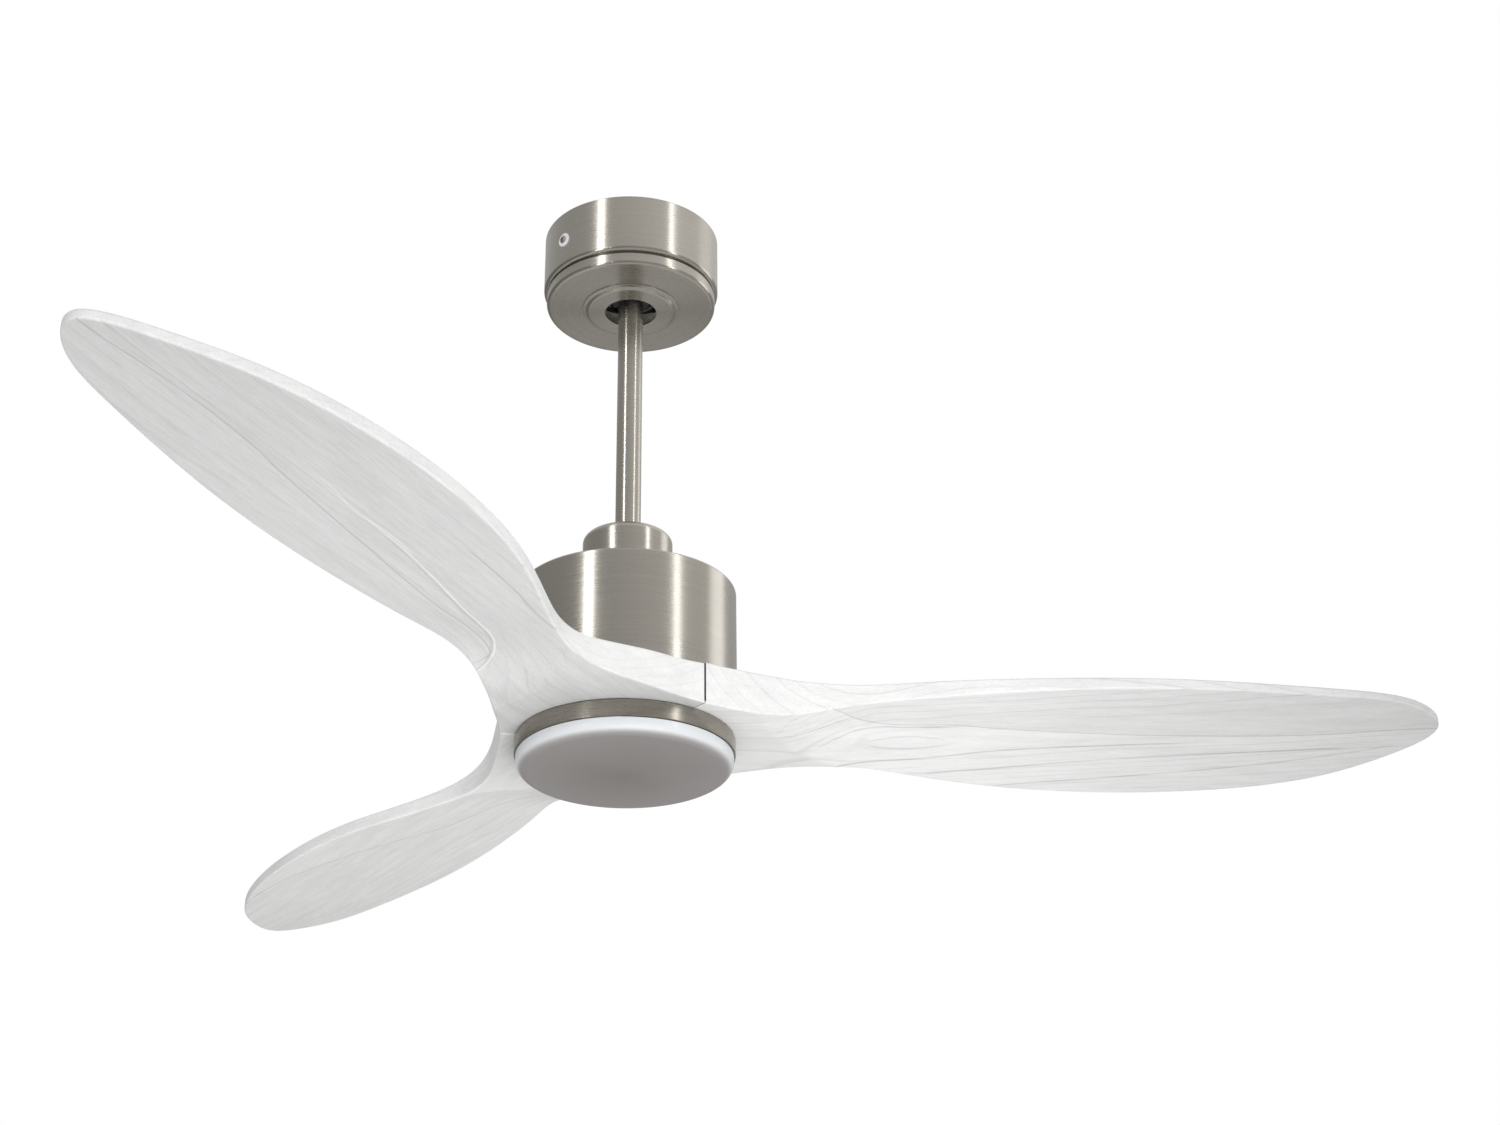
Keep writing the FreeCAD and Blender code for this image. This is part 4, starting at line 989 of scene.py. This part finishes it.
# %% Give every imported node its finish
# The light ring gets the darker copy of the nickel, which is painted shade.
own_finish = {"light_ring": painted_shade_ring_nickel}
dressed = 0
for name, node in nodes.items():
    for slot in node.material_slots:
        wanted = slot.material.name.split(".")[0] if slot.material else None
        if wanted not in finishes:
            raise ValueError("no finish for %s on %s" % (wanted, name))
        slot.material = own_finish.get(name, finishes[wanted])
        dressed += 1
print("dressed", dressed, "slots")

# %% [markdown]
# ## Camera
# The fan is seen from below and a little to the left of straight on, from under two metres away. The camera
# is aimed with three angles. Its lens is long enough that the near blades are not stretched.

# %% Place the camera
CAMERA_PLACE = (0.0, -1.7742, -1.1897)
HEADING, TILT, ROLL = (math.radians(a) for a in (3.2433, 26.3788, -0.6864))
ahead = Vector((math.sin(HEADING), math.cos(HEADING), 0))
up = Vector((0, 0, 1))
forward = ahead * math.cos(TILT) + up * math.sin(TILT)
level_up = -ahead * math.sin(TILT) + up * math.cos(TILT)
level_right = Vector((math.cos(HEADING), -math.sin(HEADING), 0))
camera_right = level_right * math.cos(ROLL) + level_up * math.sin(ROLL)
camera_up = -level_right * math.sin(ROLL) + level_up * math.cos(ROLL)
lens = bpy.data.cameras.new("studio_camera")
lens.lens, lens.sensor_width, lens.sensor_fit = 57.94, 36.0, "HORIZONTAL"
lens.clip_start, lens.clip_end = 0.05, 60.0
camera = place_object("studio_camera", lens)
pose = Matrix((camera_right, camera_up, -forward)).transposed().to_4x4()
camera.matrix_world = Matrix.Translation(CAMERA_PLACE) @ pose
bpy.context.scene.camera = camera
print("camera looks along", [round(v, 3) for v in forward])

# %% [markdown]
# ## Studio light
# Brushed metal shows what stands round it, so the light is a set of upright softboxes: their reflections
# are the bright upright stripes on the housing. A low softbox in front and a fill on the left lift the
# undersides of the blades; these two are not mirrored, so they add no stripes. The sky is grey to the
# parts and white to the camera, which keeps the background clean without washing out the metal.

# %% Softboxes
FAN_MIDDLE = Vector((0.0, 0.0, -0.35))


def softbox(name, around, above, distance, width, height, brightness, mirrored=True):
    """A rectangular light facing the fan: degrees round from the front, degrees above level."""
    a, e = math.radians(around), math.radians(above)
    away = Vector((math.sin(a) * math.cos(e), -math.cos(a) * math.cos(e), math.sin(e)))
    light = bpy.data.lights.new(name, "AREA")
    light.shape, light.size, light.size_y = "RECTANGLE", width, height
    light.energy = brightness * math.pi * width * height
    box = place_object(name, light)
    box.location = FAN_MIDDLE + away * distance
    box.rotation_mode = "QUATERNION"
    box.rotation_quaternion = away.to_track_quat("Z", "Y")
    box.visible_camera = False
    box.visible_glossy = mirrored
    return box


# Name, degrees round, degrees up, distance, width, height and brightness.
softboxes = [
    softbox("left_strip", -39.7, 14, 3.4, 0.36, 3.4, 7.5),
    softbox("right_strip", 52.5, 14, 3.4, 0.28, 3.4, 4.4),
    softbox("right_wall", 107, 11, 3.4, 1.4, 2.4, 1.2),
    softbox("low_front", 18, -40, 3.0, 2.2, 2.2, 4.6, mirrored=False),
    softbox("left_fill", -62, -14, 3.0, 1.6, 1.6, 1.5, mirrored=False),
]
print("softboxes", [b.name for b in softboxes])

# %% Studio sky and floor
# Places from straight down (0) to straight up (1), and the brightness of the sky there.
SKY_STOPS = [(0.0, 0.4), (0.25, 0.30), (0.48, 0.30), (0.62, 0.38), (0.70, 0.44), (0.735, 0.52),
             (0.79, 0.84), (0.88, 0.86), (1.0, 0.72)]
SKY_LEFT, SKY_RIGHT = 0.62, 1.30
FLOOR_RADIUS, FLOOR_HEIGHT = 7.4, -5.0


def studio_sky():
    world = bpy.data.worlds.new("studio_sky")
    world.use_nodes = True
    tree = world.node_tree
    tree.nodes.clear()
    toward = split(tree, add(tree, "TexCoord").outputs["Generated"])
    ramp = add(tree, "ValToRGB", {"Fac": spread(tree, toward[2], -1.0, 1.0)})
    elements = ramp.color_ramp.elements
    elements[0].position, elements[1].position = SKY_STOPS[0][0], SKY_STOPS[-1][0]
    for place_at, _ in SKY_STOPS[1:-1]:
        elements.new(place_at)
    for element, (_, level) in zip(elements, SKY_STOPS):
        element.color = rgb(level, level * 0.995, level * 0.985)
    seen = add(tree, "LightPath").outputs["Is Camera Ray"]
    color = blend_colors(tree, seen, ramp.outputs["Color"], grey(1.0))
    side_light = spread(tree, toward[0], -1.0, 1.0, SKY_LEFT, SKY_RIGHT)
    strength = plus(tree, times(tree, side_light, calc(tree, "SUBTRACT", 1.0, seen)), seen)
    back = add(tree, "Background", {"Color": color, "Strength": strength})
    add(tree, "OutputWorld", {"Surface": back.outputs[0]})
    bpy.context.scene.world = world


def studio_floor():
    """A round pale floor, low enough that the fan can be looked at from steeply below."""
    shape = bmesh.new()
    bmesh.ops.create_circle(shape, cap_ends=True, segments=96, radius=FLOOR_RADIUS)
    mesh = bpy.data.meshes.new("studio_floor")
    shape.to_mesh(mesh)
    shape.free()
    floor = place_object("studio_floor", mesh)
    floor.location = (0, 0, FLOOR_HEIGHT)
    material, tree, shader, here = start_material("pale_floor", roughness=0.8)
    patches = haze_over(tree, here, 0.6)
    finish_material(tree, shader, blend_colors(tree, patches, grey(0.84), grey(0.87)))
    mesh.materials.append(material)


studio_sky()
studio_floor()
scene = bpy.context.scene
scene.view_settings.view_transform = "Standard"
scene.view_settings.look = "None"
print("sky and floor ready")
